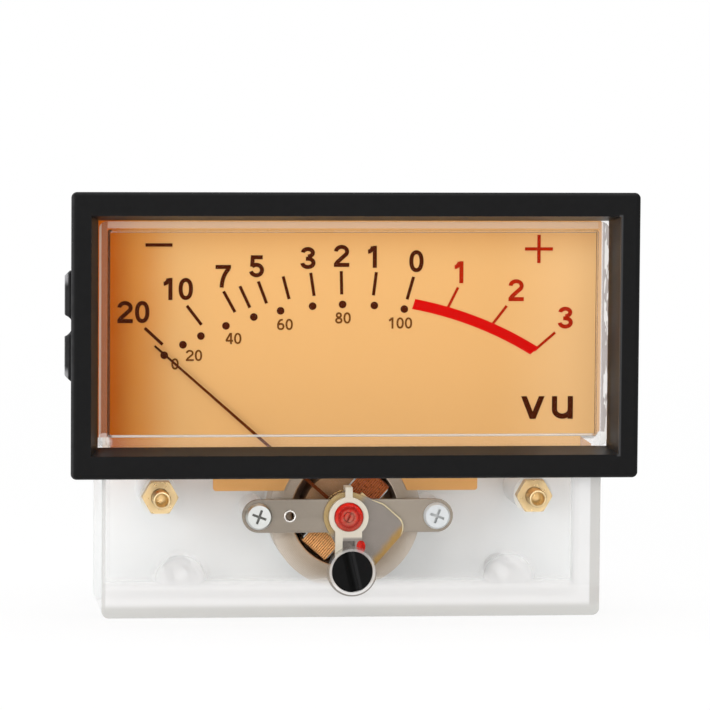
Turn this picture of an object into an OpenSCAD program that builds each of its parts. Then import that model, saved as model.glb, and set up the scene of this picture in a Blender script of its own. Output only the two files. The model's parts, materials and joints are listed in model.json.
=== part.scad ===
// Moving-coil VU meter for panel mounting, millimetres.
// +X is right, +Z is up and the dial faces -Y. The case stands on its flat lower edge.
// "Depth" below always means distance behind the front face of the bezel.

/* [Bezel] */
// Width of the bezel
bezel_w = 78; // [74:0.5:90]
// Height of the bezel
bezel_h = 39.2; // [37:0.2:46]
// Width of a side bar of the bezel, at the front
side_bar = 2.7; // [2.2:0.1:3.4]
// Height of the top and bottom bars of the bezel, at the front
cross_bar = 3.2; // [2.6:0.1:3.8]
// How much the side walls of the opening lean in from front to back
side_lean = 1.2; // [0.4:0.1:1.4]
// How much the top and bottom walls of the opening lean in
cross_lean = 0.9; // [0.4:0.1:1.1]
// Depth of the bars
bar_depth = 4; // [3:0.1:6]
// Radius of the outer edges of the bezel
edge_r = 0.8; // [0.4:0.1:1.2]
// How much the outer sides of the bezel lean in towards the back
outer_lean = 0.5; // [0.2:0.05:0.8]
// Depth of the skirt round the top and the sides
skirt_depth = 8; // [7.5:0.5:12]
// Wall of the skirt
skirt_wall = 1.8; // [1.2:0.1:2]
// How far an ear stands out of the front edge of the bezel
ear_reach = 0.55; // [0.4:0.05:2]
// Height of an ear
ear_h = 15; // [10:0.5:20]
// Thickness of an ear
ear_thick = 2.4; // [1.5:0.1:3]
// Height of the ears above the middle of the bezel
ear_raise = 1; // [0:0.5:4]
// Radius of the screw notch in an ear
notch_r = 1.65; // [1.2:0.05:2.2]

/* [Case] */
// How far the case reaches below the bezel
chin_drop = 19.6; // [17:0.2:24]
// Width of the part of the case below the bezel
chin_w = 69; // [66:0.5:72]
// Wall of the clear cover
cover_wall = 1.2; // [0.9:0.1:1.5]
// How far the raised window stands into the bezel
window_proud = 0.8; // [0.4:0.1:1.2]
// How far the face of the chin lies behind the shoulder of the cover
chin_step = 0.55; // [0.3:0.05:1.2]
// Corner radius of the case, seen from the front
case_corner_r = 1; // [0.6:0.1:2]
// Thickness of the flange of the base
flange_thick = 1.2; // [1:0.1:2]
// How far the base plugs into the cover
plug_depth = 1.1; // [0.8:0.1:2]
// Distance between the screw pillars of the cover
pillar_spacing = 45.4; // [40:0.2:50]
// Height of the screw pillars above the lower edge
pillar_z = 4.4; // [3.8:0.1:6]
// Radius of a screw pillar
pillar_r = 2; // [1.6:0.1:2.4]
// Radius of the posts and anchors on the base that take screws
post_r = 1.75; // [1.4:0.05:2]

/* [Movement] */
// Height of the pivot above the lower edge
pivot_z = 13.3; // [12.5:0.1:15]
// Radius of the core magnet
core_r = 5.9; // [5:0.1:6.2]
// Length of the core magnet
core_len = 6.4; // [5:0.1:8]
// Air gap between core and yoke
air_gap = 1.6; // [1.5:0.05:1.9]
// Radial wall of the yoke ring
yoke_wall = 3.1; // [2.4:0.1:3.6]
// How much shorter the yoke is than the core
yoke_short = 0.4; // [0.2:0.1:1]
// Half the angle that a core spacer fills
spacer_half_angle = 11; // [6:1:12]
// Width of the coil
coil_w = 4.6; // [3.6:0.1:4.8]
// Wall of the coil former
former_wall = 0.2; // [0.15:0.05:0.25]
// Build-up of the copper winding
winding_build = 0.5; // [0.3:0.05:0.55]
// Radius of a pivot pin
pivot_pin_r = 0.3; // [0.2:0.05:0.4]
// Radius of the collet behind the pivot pin
collet_r = 0.8; // [0.6:0.05:1]
// Outer radius of the hairsprings
spring_r = 3.5; // [3:0.1:3.8]
// Turns of a hairspring
spring_turns = 4; // [3:1:5]
// Thickness of the hairspring strip
spring_thick = 0.1; // [0.06:0.02:0.14]
// Width of the hairspring strip
spring_w = 0.4; // [0.3:0.05:0.6]
// Length of the tag that holds the outer end of the front hairspring
tag_len = 0.55; // [0.4:0.05:0.7]
// Radius of the anchor of the rear hairspring
anchor_r = 0.5; // [0.4:0.05:0.7]
// Radius of the jewel screw in the base
rear_jewel_r = 1; // [0.8:0.05:1.2]

/* [Pointer] */
// Length of the needle from the pivot
needle_len = 35.7; // [30:0.1:37]
// Width of the needle at the hub
needle_root_w = 0.5; // [0.3:0.05:0.8]
// Width of the needle at the tip
needle_tip_w = 0.3; // [0.2:0.05:0.5]
// Thickness of the pointer
needle_thick = 0.3; // [0.2:0.05:0.4]
// Angle of the resting needle from upright, to the left
rest_angle = 48.7; // [45:0.1:50]
// Angle of the needle stops from upright, on both sides
stop_angle = 53.9; // [52:0.1:58]
// Radius of a needle stop
stop_r = 0.35; // [0.25:0.05:0.5]
// Length of the tail arm
tail_len = 5.4; // [4:0.1:6]
// Length of a side arm
side_arm = 3.8; // [3:0.1:4.4]
// Width of the balance arms
arm_w = 0.6; // [0.4:0.05:0.8]
// Width of the balance weight on the tail
tail_weight_w = 1.8; // [1.2:0.1:2.4]
// Length of the balance weight on the tail
tail_weight_l = 1.6; // [1:0.1:2]
// Height of the balance weight on the tail, along the depth
tail_weight_h = 1.75; // [1.2:0.05:1.9]
// Edge of a balance weight on a side arm
side_weight = 0.9; // [0.8:0.05:1.2]

/* [Bridge and zero setting] */
// Length of the bridge strap beyond each of its screws
strap_end_r = 2.3; // [2:0.1:2.6]
// Thickness of the bridge strap
strap_thick = 0.8; // [0.6:0.1:1.2]
// Radius of the lead hole in the strap
strap_hole_r = 0.6; // [0.4:0.05:0.8]
// Half the width of the pear-shaped bridge plate
plate_half_w = 4.6; // [3.5:0.1:5]
// Radius of the bridge plate round the bush
plate_near_r = 3.4; // [2.8:0.1:3.8]
// Turn of the bridge plate from upright, clockwise
plate_turn = 131; // [110:1:150]
// Reach of the bridge plate from the pivot
plate_reach = 7.4; // [6.5:0.1:8]
// Radius of the corners of the bridge plate
plate_corner_r = 2; // [1:0.1:2.4]
// Thickness of the bridge plate
plate_thick = 0.4; // [0.3:0.05:0.6]
// Radius of the bearing bush
bush_r = 2; // [1.8:0.05:2.2]
// Radius of the shank of the bush, in the strap
bush_shank_r = 1.3; // [1.1:0.05:1.5]
// Radius of the jewel screw in the bush
front_jewel_r = 0.65; // [0.55:0.05:0.75]
// Ring of the zero lever round the bush
lever_ring_w = 0.7; // [0.5:0.05:1]
// Thickness of the zero lever
lever_thick = 0.8; // [0.6:0.1:1]
// Width of a leg of the fork
fork_leg_w = 1; // [0.8:0.05:1.3]
// Width of the stem of the zero lever
stem_w = 1; // [0.8:0.05:1.3]
// Distance of the zero adjuster below the pivot
adjuster_drop = 7; // [6.6:0.1:7.6]
// Radius of the head of the zero adjuster
adjuster_head_r = 2.8; // [2.4:0.1:3]
// Wall of the collar round that head
collar_wall = 0.6; // [0.4:0.05:0.8]
// How far the collar stands out of the face of the chin
collar_rise = 0.6; // [0.3:0.05:0.8]
// Width of the driver slot in that head
slot_w = 0.9; // [0.6:0.05:1.2]
// Radius of the shank of the zero adjuster
adjuster_shank_r = 1.6; // [1.5:0.05:1.8]
// Radius of the eccentric pin
eccentric_r = 0.7; // [0.5:0.05:0.75]
// Offset of the eccentric pin from the axis of the adjuster
eccentric_offset = 0.8; // [0.5:0.05:0.85]

/* [Dial] */
// Thickness of the dial
dial_thick = 0.6; // [0.4:0.1:1]
// Half the width of the tab at the lower edge of the dial
tab_half_w = 18.5; // [17.5:0.1:20]
// Height of the lower edge of the dial above the pivot
dial_low_raise = 5.9; // [5:0.1:7]
// Height of the lower edge of the tab above the pivot
tab_raise = 3.2; // [2.6:0.1:4]
// How far the arch of the dial covers the yoke
dial_lap = 1.4; // [0.8:0.1:2]
// Distance of a dial screw outside the yoke
dial_screw_out = 4.9; // [4:0.1:5.5]
// Height of the dial screws above the pivot
dial_screw_raise = 7; // [6.4:0.1:8]
// Distance of the centre of the scale arcs below the pivot
scale_drop = 20.2; // [16:0.1:24]
// Radius of the row of dots
dot_row_r = 49.4; // [47:0.1:51]
// Radius of a dot
dot_r = 0.53; // [0.4:0.01:0.7]
// Inner radius of the row of ticks
tick_row_r = 50.8; // [49:0.1:52]
// Radial length of the ticks
tick_len = 3.25; // [2:0.05:4]
// Width of a black tick
black_tick_w = 0.42; // [0.3:0.02:0.6]
// Width of a red tick
red_tick_w = 0.36; // [0.3:0.02:0.6]
// Inner radius of the red band
band_r = 49.6; // [48:0.1:51]
// Radial width of the red band
band_w = 1.45; // [1:0.05:2]

/* [Terminals and screws] */
// Distance between the terminals
terminal_spacing = 52.2; // [48:0.2:56]
// Height of the terminals above the pivot
terminal_raise = 2.7; // [2:0.1:3]
// Radius of a terminal stud, over its thread
stud_r = 1.25; // [1:0.05:1.5]
// Wall of the tubular front end of a stud
stud_wall = 0.4; // [0.3:0.05:0.5]
// How far a stud stands out of its front nut
stud_past_nut = 3.5; // [3:0.1:5]
// Radius of the plain pin at the rear end of a stud
pin_r = 0.9; // [0.7:0.05:1]
// How far the thread of a stud stands out of its rear nut
thread_past_nut = 0.6; // [0.4:0.1:1]
// How far the studs reach behind the base
stud_reach = 5.5; // [4.5:0.1:9]
// Width across the flats of the hexagon nuts
nut_flats = 4.4; // [4:0.1:5]
// Thickness of a front nut
nut_thick = 2; // [1.2:0.1:2.4]
// Thickness of a rear nut
rear_nut_thick = 1.6; // [1.2:0.1:2]
// Thickness of a solder lug
lug_thick = 0.4; // [0.3:0.05:0.5]
// Width of the tongue of a solder lug
lug_w = 2.2; // [1.8:0.1:2.6]
// Length of the tongue of a solder lug
lug_len = 5; // [4:0.1:6]
// Angle at which the tongue is bent away from the base
lug_bend = 30; // [10:1:45]
// Radius of the wire hole in a solder lug
lug_hole_r = 0.6; // [0.4:0.05:0.8]
// Radius of the pan heads of the small screws
screw_head_r = 1.85; // [1.5:0.05:2]
// Radius of the shanks of the small screws
screw_r = 0.95; // [0.8:0.05:1]
// Height of the heads of the small screws
screw_head_h = 0.9; // [0.7:0.05:0.9]
// Width of the cross recess in a screw head
recess_w = 0.34; // [0.25:0.01:0.45]
// Depth of the cross recess in a screw head
recess_depth = 0.5; // [0.3:0.05:0.5]
// Length of a strap screw under its head
strap_screw_len = 6.3; // [5:0.1:7]
// Length of a dial screw under its head
dial_screw_len = 4; // [3:0.1:5]
// Length of a cover screw under its head
cover_screw_len = 7.4; // [6:0.1:9]
// How far a yoke screw reaches into the yoke
yoke_screw_bite = 2; // [1.5:0.1:3]

/* [Clearances] */
// Running clearance of a turning fit, on the radius
running_gap = 0.05; // [0.03:0.01:0.08]
// Clearance of a fixed fit, on the radius or beside a wall
fixed_gap = 0.05; // [0.03:0.01:0.08]
// Clearance between parts that turn past each other
turning_gap = 0.3; // [0.2:0.05:0.4]
// Clearance of the eccentric pin in the fork
fork_gap = 0.15; // [0.12:0.01:0.2]
// Clearance between the core and the coil former
coil_gap = 0.25; // [0.2:0.01:0.3]
// Clearance between the needle and the dial
needle_gap = 1.1; // [0.9:0.1:1.5]
// Clearance between the coil and what turns in front of it or behind it
coil_end_gap = 0.5; // [0.4:0.05:0.8]
// Clearance between the rear hairspring and the base
spring_end_gap = 0.8; // [0.6:0.1:1.2]
// Clearance between the cover and the zero lever
lever_gap = 3.2; // [3:0.1:4]
// Play of the zero lever along its bush
lever_play = 0.2; // [0.1:0.05:0.3]
// Clearance between the dial and the case beside it
dial_gap = 0.3; // [0.2:0.05:0.5]
// Room behind the tip of a screw in its hole
tip_room = 0.5; // [0.3:0.05:0.8]

/* [Hidden] */
$fn = 64;
// Overlap that joins shapes of one solid and clears cuts
bite = 0.2;
// Thickness of the sheets between which a tapered block is drawn
sliver = 0.01;

// Depths of the case, from the front to the back
window_d = bar_depth - window_proud;
shoulder_d = bar_depth + fixed_gap;
chin_d = shoulder_d + chin_step;
chin_inside_d = chin_d + cover_wall;
ear_d = chin_d;
ear_chamfer = 0.7;
ear_relief = 0.3;

// Depths of the zero setting and the bridge
head_sink = 0.4;
head_set_back = 0.1;
clip_thick = 0.4;
clip_reach = 0.9;
shank_past_clip = 0.3;
slot_depth = 0.45;
collar_d = chin_d - collar_rise;
head_seat_d = chin_d + head_sink;
adjuster_face_d = collar_d + head_set_back;
head_back_d = head_seat_d - fixed_gap;
clip_d = chin_inside_d + fixed_gap;
shank_end_d = clip_d + clip_thick + shank_past_clip;
lever_d = chin_inside_d + lever_gap;
lever_back_d = lever_d + lever_thick;
bush_d = lever_d - lever_play;
plate_d = lever_back_d + lever_play;
strap_d = plate_d + plate_thick;
strap_back_d = strap_d + strap_thick;

// Depths of the moving system
spring_d = strap_back_d + turning_gap;
spring_back_d = spring_d + spring_w;
pointer_d = spring_back_d + turning_gap;
pointer_back_d = pointer_d + needle_thick;
winding_d = pointer_back_d + coil_end_gap;
former_d = winding_d + winding_build;
core_d = former_d + former_wall + turning_gap;
core_back_d = core_d + core_len;
former_back_d = core_back_d + turning_gap + former_wall;
winding_back_d = former_back_d + winding_build;
rear_spring_d = winding_back_d + coil_end_gap;
rear_spring_back_d = rear_spring_d + spring_w;

// Depths of the dial, the yoke and the base
dial_d = pointer_back_d + needle_gap;
dial_back_d = dial_d + dial_thick;
yoke_back_d = dial_back_d + core_len - yoke_short;
base_d = rear_spring_back_d + spring_end_gap;
flange_d = base_d + plug_depth;
base_back_d = flange_d + flange_thick;
rear_nut_d = base_back_d + lug_thick;
rear_nut_back_d = rear_nut_d + rear_nut_thick;
overall_depth = base_back_d + stud_reach;
stud_to_cover = 0.8;
stud_d = chin_inside_d + stud_to_cover;
nut_d = stud_d + stud_past_nut;
boss_d = nut_d + nut_thick;
tube_depth = 3;
counterbore = screw_head_h;
screw_seat_d = base_back_d - counterbore;

// Places seen from the front
bezel_mid_z = chin_drop + bezel_h / 2;
bezel_top_z = chin_drop + bezel_h;
opening_w = bezel_w - 2 * side_bar;
opening_h = bezel_h - 2 * cross_bar;
lip_w = opening_w - 2 * side_lean;
lip_h = opening_h - 2 * cross_lean;
window_w = lip_w - 2 * fixed_gap;
window_h = lip_h - 2 * fixed_gap;
case_w = bezel_w - 2 * skirt_wall - 2 * fixed_gap;
case_top_z = bezel_top_z - skirt_wall - fixed_gap;
case_low_z = bezel_mid_z - window_h / 2 - cover_wall;
chin_top_z = case_low_z + 4 * case_corner_r;
terminal_x = terminal_spacing / 2;
terminal_z = pivot_z + terminal_raise;
adjuster_z = pivot_z - adjuster_drop;
collar_r = adjuster_head_r + collar_wall;

// Radii and places of the movement
yoke_in_r = core_r + air_gap;
yoke_r = yoke_in_r + yoke_wall;
former_in = core_r + coil_gap;
winding_in = former_in + former_wall;
winding_inset = 0.15;
strap_screw_x = yoke_r + fixed_gap + post_r;
strap_hole_x = 0.65 * strap_screw_x;
dial_screw_x = yoke_r + dial_screw_out;
dial_screw_z = pivot_z + dial_screw_raise;
lower_edge_z = pivot_z + dial_low_raise;
tab_z = pivot_z + tab_raise;
dial_corner_r = 1;
tab_corner_r = 0.4;
dial_step_z = case_low_z + cover_wall + dial_gap;
dial_w = case_w - 2 * (cover_wall + dial_gap);
dial_foot_w = chin_w - 2 * (cover_wall + dial_gap);
dial_top_gap = 1;
dial_top_z = case_top_z - cover_wall - dial_top_gap;
stop_clear = 1;
stop_rise = 0.4;
stop_reach = yoke_r + stop_clear;
fork_slot = 2 * (eccentric_r + fork_gap);
fork_tip = 0.6;
lever_ring_r = bush_r + running_gap + lever_ring_w;
tag_r = spring_r + spring_thick;
stem_end_r = tag_r + tag_len;
anchor_z = pivot_z + tag_r + anchor_r;
jewel_cup = 0.5;
jewel_proud = 0.1;
jewel_slot_w = 0.3;
jewel_slot_depth = 0.4;
jewel_slot_turn = 65;
pilot_r = screw_r + fixed_gap;
recess_turn = 20;
recess_len = 1.1 * screw_head_r;
screw_face_r = 0.86 * screw_head_r;
slot_turn = -13;
yoke_screw_angle = 45;
yoke_screw_r = (yoke_in_r + yoke_r) / 2;
yoke_hole_end = yoke_screw_bite + tip_room;
nut_corner_r = nut_flats / sqrt(3);
nut_face_r = (nut_corner_r + nut_flats / 2) / 2;
boss_margin = 0.15;
terminal_boss_r = nut_corner_r + boss_margin;
arm_end = 0.05;
arm_fit = 0.01;
foot_thick = 0.3;
foot_margin = 0.7;
hub_wall = 0.8;
pin_in_cup = 0.3;
inside_r = 0.3;

// Graduations, in degrees from upright at the pivot
black_tick_angles = [-47.3, -37.5, -29, -25.2, -20.9, -15.1, -8.6, -1.4, 6.9, 15.7];
red_tick_angles = [26.2, 37.7, 49.2];
dot_angles = [-48.9, -44, -39.3, -32.7, -25.3, -18.1, -9.4, -1.2, 7.5, 15.7];
band_angles = [17.7, 49.3];
print_thick = 0.06;

// Y of a depth behind the bezel's front face; the origin is halfway through the meter
function y_of(depth) = depth - overall_depth / 2;

// Distance from the pivot, at an angle from upright, of a circle round the scale centre
function scale_reach(radius, angle) =
    sqrt(pow(radius, 2) - pow(scale_drop * sin(angle), 2)) - scale_drop * cos(angle);

// Extrudes a front-view outline from one depth to another
module slab(front, back) {
    translate([0, y_of(back), 0])
        rotate([90, 0, 0])
            linear_extrude(back - front)
                children();
}

// Round solid along the depth, with an optional other radius at the back
module turned(x, z, r, front, back, back_r = undef) {
    translate([x, y_of(back), z])
        rotate([90, 0, 0])
            cylinder(h = back - front, r1 = is_undef(back_r) ? r : back_r, r2 = r);
}

// Places children at the pivot, turned clockwise as seen from the front
module at_pivot(angle = 0) {
    translate([0, 0, pivot_z])
        rotate([0, angle, 0])
            children();
}

// Repeats children on both sides
module both_sides(x) {
    for (side = [-1, 1])
        translate([side * x, 0, 0])
            children();
}

// Rectangle with round corners between two heights
module round_rect(w, low, high, r) {
    translate([-w / 2 + r, low])
        square([w - 2 * r, high - low]);
    translate([-w / 2, low + r])
        square([w, high - low - 2 * r]);
    for (x = [-1, 1], z = [low + r, high - r])
        translate([x * (w / 2 - r), z])
            circle(r);
}

// Outline of the case, drawn in by an inset
module case_outline(inset = 0) {
    r = max(case_corner_r - inset, inside_r);
    round_rect(case_w - 2 * inset, case_low_z + inset, case_top_z - inset, r);
    round_rect(chin_w - 2 * inset, inset, chin_top_z + inset, r);
}

// Tapered block between a front and a back rectangle, for the opening of the bezel
module tapered_opening(front, back, front_size, back_size) {
    hull() {
        slab(front, front + sliver)
            translate([0, bezel_mid_z])
                square(front_size, center = true);
        slab(back - sliver, back)
            translate([0, bezel_mid_z])
                square(back_size, center = true);
    }
}

module bezel() {
    color([0.13, 0.13, 0.13])
        difference() {
            union() {
                hull() {
                    for (x = [-1, 1], z = [chin_drop + edge_r, bezel_top_z - edge_r])
                        translate([x * (bezel_w / 2 - edge_r), y_of(edge_r), z])
                            sphere(edge_r, $fn = 32);
                    slab(skirt_depth - sliver, skirt_depth)
                        round_rect(bezel_w - 2 * outer_lean, chin_drop + outer_lean,
                            bezel_top_z - outer_lean, edge_r, $fn = 32);
                }
                for (side = [-1, 1])
                    ear(side);
            }
            tapered_opening(-sliver, bar_depth + bite, [opening_w, opening_h],
                [lip_w - side_lean * bite / bar_depth, lip_h]);
            slab(bar_depth, skirt_depth + bite)
                skirt_cavity();
            for (side = [-1, 1])
                turned(side * (bezel_w / 2 - outer_lean + notch_r), bezel_mid_z + ear_raise, notch_r,
                    ear_d - bite, ear_d + ear_thick + bite);
        }
}

// Inside of the skirt, open downwards, with room for the case and for the top of the chin
module skirt_cavity() {
    translate([-bezel_w / 2 + skirt_wall, chin_drop - bite])
        square([bezel_w - 2 * skirt_wall, bezel_h - skirt_wall + bite]);
    translate([-chin_w / 2 - fixed_gap, chin_drop - bite])
        square([chin_w + 2 * fixed_gap, chin_top_z + fixed_gap - chin_drop + bite]);
}

// Mounting ear with chamfered outer corners, on the right for side 1 and on the left for side -1.
// Its front is the seat of the panel, with a relief groove where the leaning side of the bezel overhangs.
module ear(side) {
    root = bezel_w / 2 - outer_lean - bite;
    tip = bezel_w / 2 + ear_reach;
    half_h = ear_h / 2;
    difference() {
        slab(ear_d, ear_d + ear_thick)
            translate([0, bezel_mid_z + ear_raise])
                polygon([[side * root, -half_h], [side * (tip - ear_chamfer), -half_h],
                    [side * tip, -half_h + ear_chamfer], [side * tip, half_h - ear_chamfer],
                    [side * (tip - ear_chamfer), half_h], [side * root, half_h]]);
        slab(ear_d - bite, ear_d + ear_relief)
            translate([side * (bezel_w / 2 - outer_lean), bezel_mid_z + ear_raise])
                square([2 * outer_lean, ear_h + 2 * bite], center = true);
    }
}

module clear_cover() {
    window_low_z = bezel_mid_z - window_h / 2;
    window_high_z = bezel_mid_z + window_h / 2;
    color([0.92, 0.95, 0.95, 0.35])
        difference() {
            union() {
                slab(window_d, shoulder_d + bite)
                    round_rect(window_w, window_low_z, window_high_z, case_corner_r);
                slab(shoulder_d, flange_d - fixed_gap)
                    round_rect(case_w, case_low_z, case_top_z, case_corner_r);
                slab(chin_d, flange_d - fixed_gap)
                    round_rect(chin_w, 0, chin_top_z, case_corner_r);
                turned(0, adjuster_z, collar_r, collar_d, chin_d + bite);
            }
            difference() {
                union() {
                    slab(window_d + cover_wall, shoulder_d + cover_wall + bite)
                        round_rect(window_w - 2 * cover_wall, window_low_z + cover_wall,
                            window_high_z - cover_wall, inside_r);
                    slab(shoulder_d + cover_wall, flange_d + bite)
                        round_rect(case_w - 2 * cover_wall, case_low_z + cover_wall,
                            case_top_z - cover_wall, inside_r);
                    slab(chin_inside_d, flange_d + bite)
                        round_rect(chin_w - 2 * cover_wall, cover_wall, chin_top_z, inside_r);
                }
                both_sides(pillar_spacing / 2)
                    turned(0, pillar_z, pillar_r, chin_inside_d - bite, base_d - fixed_gap);
            }
            both_sides(pillar_spacing / 2)
                turned(0, pillar_z, pilot_r, screw_seat_d - cover_screw_len - tip_room, base_d + bite);
            turned(0, adjuster_z, adjuster_head_r + running_gap, collar_d - bite, head_seat_d);
            turned(0, adjuster_z, adjuster_shank_r + running_gap, collar_d, chin_inside_d + bite);
        }
}

module base() {
    color([0.93, 0.93, 0.92])
        difference() {
            union() {
                slab(flange_d, base_back_d)
                    case_outline();
                slab(base_d, flange_d + bite)
                    case_outline(cover_wall + fixed_gap);
                both_sides(strap_screw_x)
                    turned(0, pivot_z, post_r, strap_back_d, base_d + bite);
                both_sides(dial_screw_x)
                    turned(0, dial_screw_z, post_r, dial_back_d, base_d + bite);
                both_sides(terminal_x)
                    turned(0, terminal_z, terminal_boss_r, boss_d, base_d + bite);
                turned(0, pivot_z, yoke_r, yoke_back_d, base_d + bite);
                spring_anchor();
            }
            difference() {
                turned(0, pivot_z, yoke_in_r, yoke_back_d - bite, base_d);
                spring_anchor();
            }
            both_sides(strap_screw_x)
                turned(0, pivot_z, pilot_r, strap_back_d - bite, strap_d + strap_screw_len + tip_room);
            both_sides(dial_screw_x)
                turned(0, dial_screw_z, pilot_r, dial_back_d - bite, dial_d + dial_screw_len + tip_room);
            both_sides(terminal_x)
                turned(0, terminal_z, stud_r + fixed_gap, boss_d - bite, base_back_d + bite);
            both_sides(pillar_spacing / 2) {
                turned(0, pillar_z, pilot_r, base_d - bite, base_back_d + bite);
                turned(0, pillar_z, screw_head_r + fixed_gap, screw_seat_d, base_back_d + bite);
            }
            turned(0, pivot_z, rear_jewel_r + fixed_gap, base_d - bite, base_back_d + bite);
            for (turn = [0, 180])
                at_pivot(yoke_screw_angle + turn)
                    translate([0, 0, yoke_screw_r]) {
                        turned(0, 0, pilot_r, yoke_back_d - bite, base_back_d + bite);
                        turned(0, 0, screw_head_r + fixed_gap, screw_seat_d, base_back_d + bite);
                    }
        }
}

// Pillar on the base that holds the outer end of the rear hairspring
module spring_anchor() {
    turned(0, anchor_z, anchor_r, rear_spring_d, base_d + bite);
}

module dial() {
    color([0.93, 0.72, 0.47])
        slab(dial_d, dial_back_d)
            difference() {
                union() {
                    round_rect(dial_w, dial_step_z, dial_top_z, dial_corner_r);
                    round_rect(dial_foot_w, lower_edge_z, dial_step_z + 3 * dial_corner_r, dial_corner_r);
                    round_rect(2 * tab_half_w, tab_z, lower_edge_z + 3 * dial_corner_r, tab_corner_r);
                }
                translate([0, pivot_z])
                    circle(yoke_r - dial_lap);
                both_sides(dial_screw_x)
                    translate([0, dial_screw_z])
                        circle(pilot_r);
                for (angle = [-stop_angle, stop_angle])
                    translate([stop_reach * sin(angle), pivot_z + stop_reach * cos(angle)])
                        circle(stop_r + fixed_gap);
            }
}

// Printed layer on the face of the dial
module printed() {
    slab(dial_d - print_thick, dial_d)
        translate([0, pivot_z])
            children();
}

// Tick that points at the pivot
module tick(angle, inner_r, outer_r, w) {
    near = scale_reach(inner_r, angle);
    far = scale_reach(outer_r, angle);
    rotate(-angle)
        translate([-w / 2, near])
            square([w, far - near]);
}

module scale_print_black() {
    color([0.1, 0.07, 0.05])
        printed() {
            for (angle = black_tick_angles)
                tick(angle, tick_row_r, tick_row_r + tick_len, black_tick_w);
            for (angle = dot_angles)
                rotate(-angle)
                    translate([0, scale_reach(dot_row_r, angle)])
                        circle(dot_r);
        }
}

module scale_print_red() {
    fan_r = 2 * band_r;
    color([0.82, 0.08, 0.05])
        printed() {
            intersection() {
                translate([0, -scale_drop])
                    difference() {
                        circle(band_r + band_w);
                        circle(band_r);
                    }
                polygon([[0, 0], for (angle = band_angles) fan_r * [sin(angle), cos(angle)]]);
            }
            for (angle = red_tick_angles)
                tick(angle, band_r + band_w / 2, tick_row_r + tick_len, red_tick_w);
        }
}

module pointer_stops() {
    color([0.15, 0.15, 0.15])
        for (angle = [-stop_angle, stop_angle])
            at_pivot(angle)
                turned(0, stop_reach, stop_r, pointer_d - stop_rise, dial_back_d);
}

// Pan-head screw with a cross recess; the head lies in front of its seat
module pan_screw(seat, len) {
    face = seat - screw_head_h;
    rim = seat - screw_head_h / 2;
    difference() {
        union() {
            turned(0, 0, screw_face_r, face, rim, screw_head_r);
            turned(0, 0, screw_head_r, rim, seat);
            turned(0, 0, screw_r, seat - bite, seat + len);
        }
        cross_recess(face - bite, face + recess_depth);
    }
}

// Cross cut into a screw head between two depths
module cross_recess(front, back) {
    for (turn = [0, 90])
        rotate([0, recess_turn + turn, 0])
            slab(front, back)
                square([recess_len, recess_w], center = true);
}

// The same screw put in from behind
module rear_screw(seat, len) {
    face = seat + screw_head_h;
    rim = seat + screw_head_h / 2;
    difference() {
        union() {
            turned(0, 0, screw_head_r, rim, face, screw_face_r);
            turned(0, 0, screw_head_r, seat, rim);
            turned(0, 0, screw_r, seat - len, seat + bite);
        }
        cross_recess(face - recess_depth, face + bite);
    }
}

module dial_screws() {
    color([0.72, 0.72, 0.7])
        both_sides(dial_screw_x)
            translate([0, 0, dial_screw_z])
                pan_screw(dial_d, dial_screw_len);
}

module yoke_ring() {
    color([0.78, 0.75, 0.7])
        difference() {
            turned(0, pivot_z, yoke_r, dial_back_d, yoke_back_d);
            turned(0, pivot_z, yoke_in_r, dial_back_d - bite, yoke_back_d + bite);
            for (turn = [0, 180])
                at_pivot(yoke_screw_angle + turn)
                    turned(0, yoke_screw_r, pilot_r, yoke_back_d - yoke_hole_end, yoke_back_d + bite);
        }
}

module core_magnet() {
    color([0.45, 0.44, 0.43])
        turned(0, pivot_z, core_r, core_d, core_back_d);
}

module core_spacers() {
    color([0.72, 0.6, 0.35])
        for (turn = [0, 180])
            at_pivot(turn)
                slab(dial_back_d, yoke_back_d)
                    intersection() {
                        difference() {
                            circle(yoke_in_r - fixed_gap);
                            circle(core_r + fixed_gap);
                        }
                        polygon([[0, 0], for (side = [-1, 1])
                            2 * yoke_in_r * [side * sin(spacer_half_angle), cos(spacer_half_angle)]]);
                    }
}

module yoke_screws() {
    color([0.72, 0.72, 0.7])
        for (turn = [0, 180])
            at_pivot(yoke_screw_angle + turn)
                translate([0, 0, yoke_screw_r])
                    rear_screw(screw_seat_d, screw_seat_d - yoke_back_d + yoke_screw_bite);
}

module bridge_strap() {
    color([0.58, 0.52, 0.46])
        slab(strap_d, strap_back_d)
            translate([0, pivot_z])
                difference() {
                    union() {
                        square([2 * strap_screw_x, 2 * strap_end_r], center = true);
                        both_sides(strap_screw_x)
                            circle(strap_end_r);
                    }
                    both_sides(strap_screw_x)
                        circle(pilot_r);
                    circle(bush_shank_r + fixed_gap);
                    translate([-strap_hole_x, 0])
                        circle(strap_hole_r);
                }
}

module strap_screws() {
    color([0.72, 0.72, 0.7])
        both_sides(strap_screw_x)
            translate([0, 0, pivot_z])
                pan_screw(strap_d, strap_screw_len);
}

// Pear-shaped plate: narrow round the bush, widest at its shoulder, with round corners
module bridge_plate() {
    shoulder = 0.4 * plate_reach;
    color([0.6, 0.54, 0.42])
        at_pivot(plate_turn)
            slab(plate_d, strap_d)
                difference() {
                    hull() {
                        circle(plate_near_r);
                        for (along = [shoulder, plate_reach - plate_corner_r])
                            translate([0, along])
                                both_sides(plate_half_w - plate_corner_r)
                                    circle(plate_corner_r);
                    }
                    circle(bush_r + fixed_gap);
                }
}

module front_bush() {
    color([0.75, 0.2, 0.15])
        difference() {
            union() {
                turned(0, pivot_z, bush_r, bush_d, strap_d);
                turned(0, pivot_z, bush_shank_r, strap_d - bite, strap_back_d);
            }
            turned(0, pivot_z, front_jewel_r + fixed_gap, bush_d - bite, strap_back_d + bite);
        }
}

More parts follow.
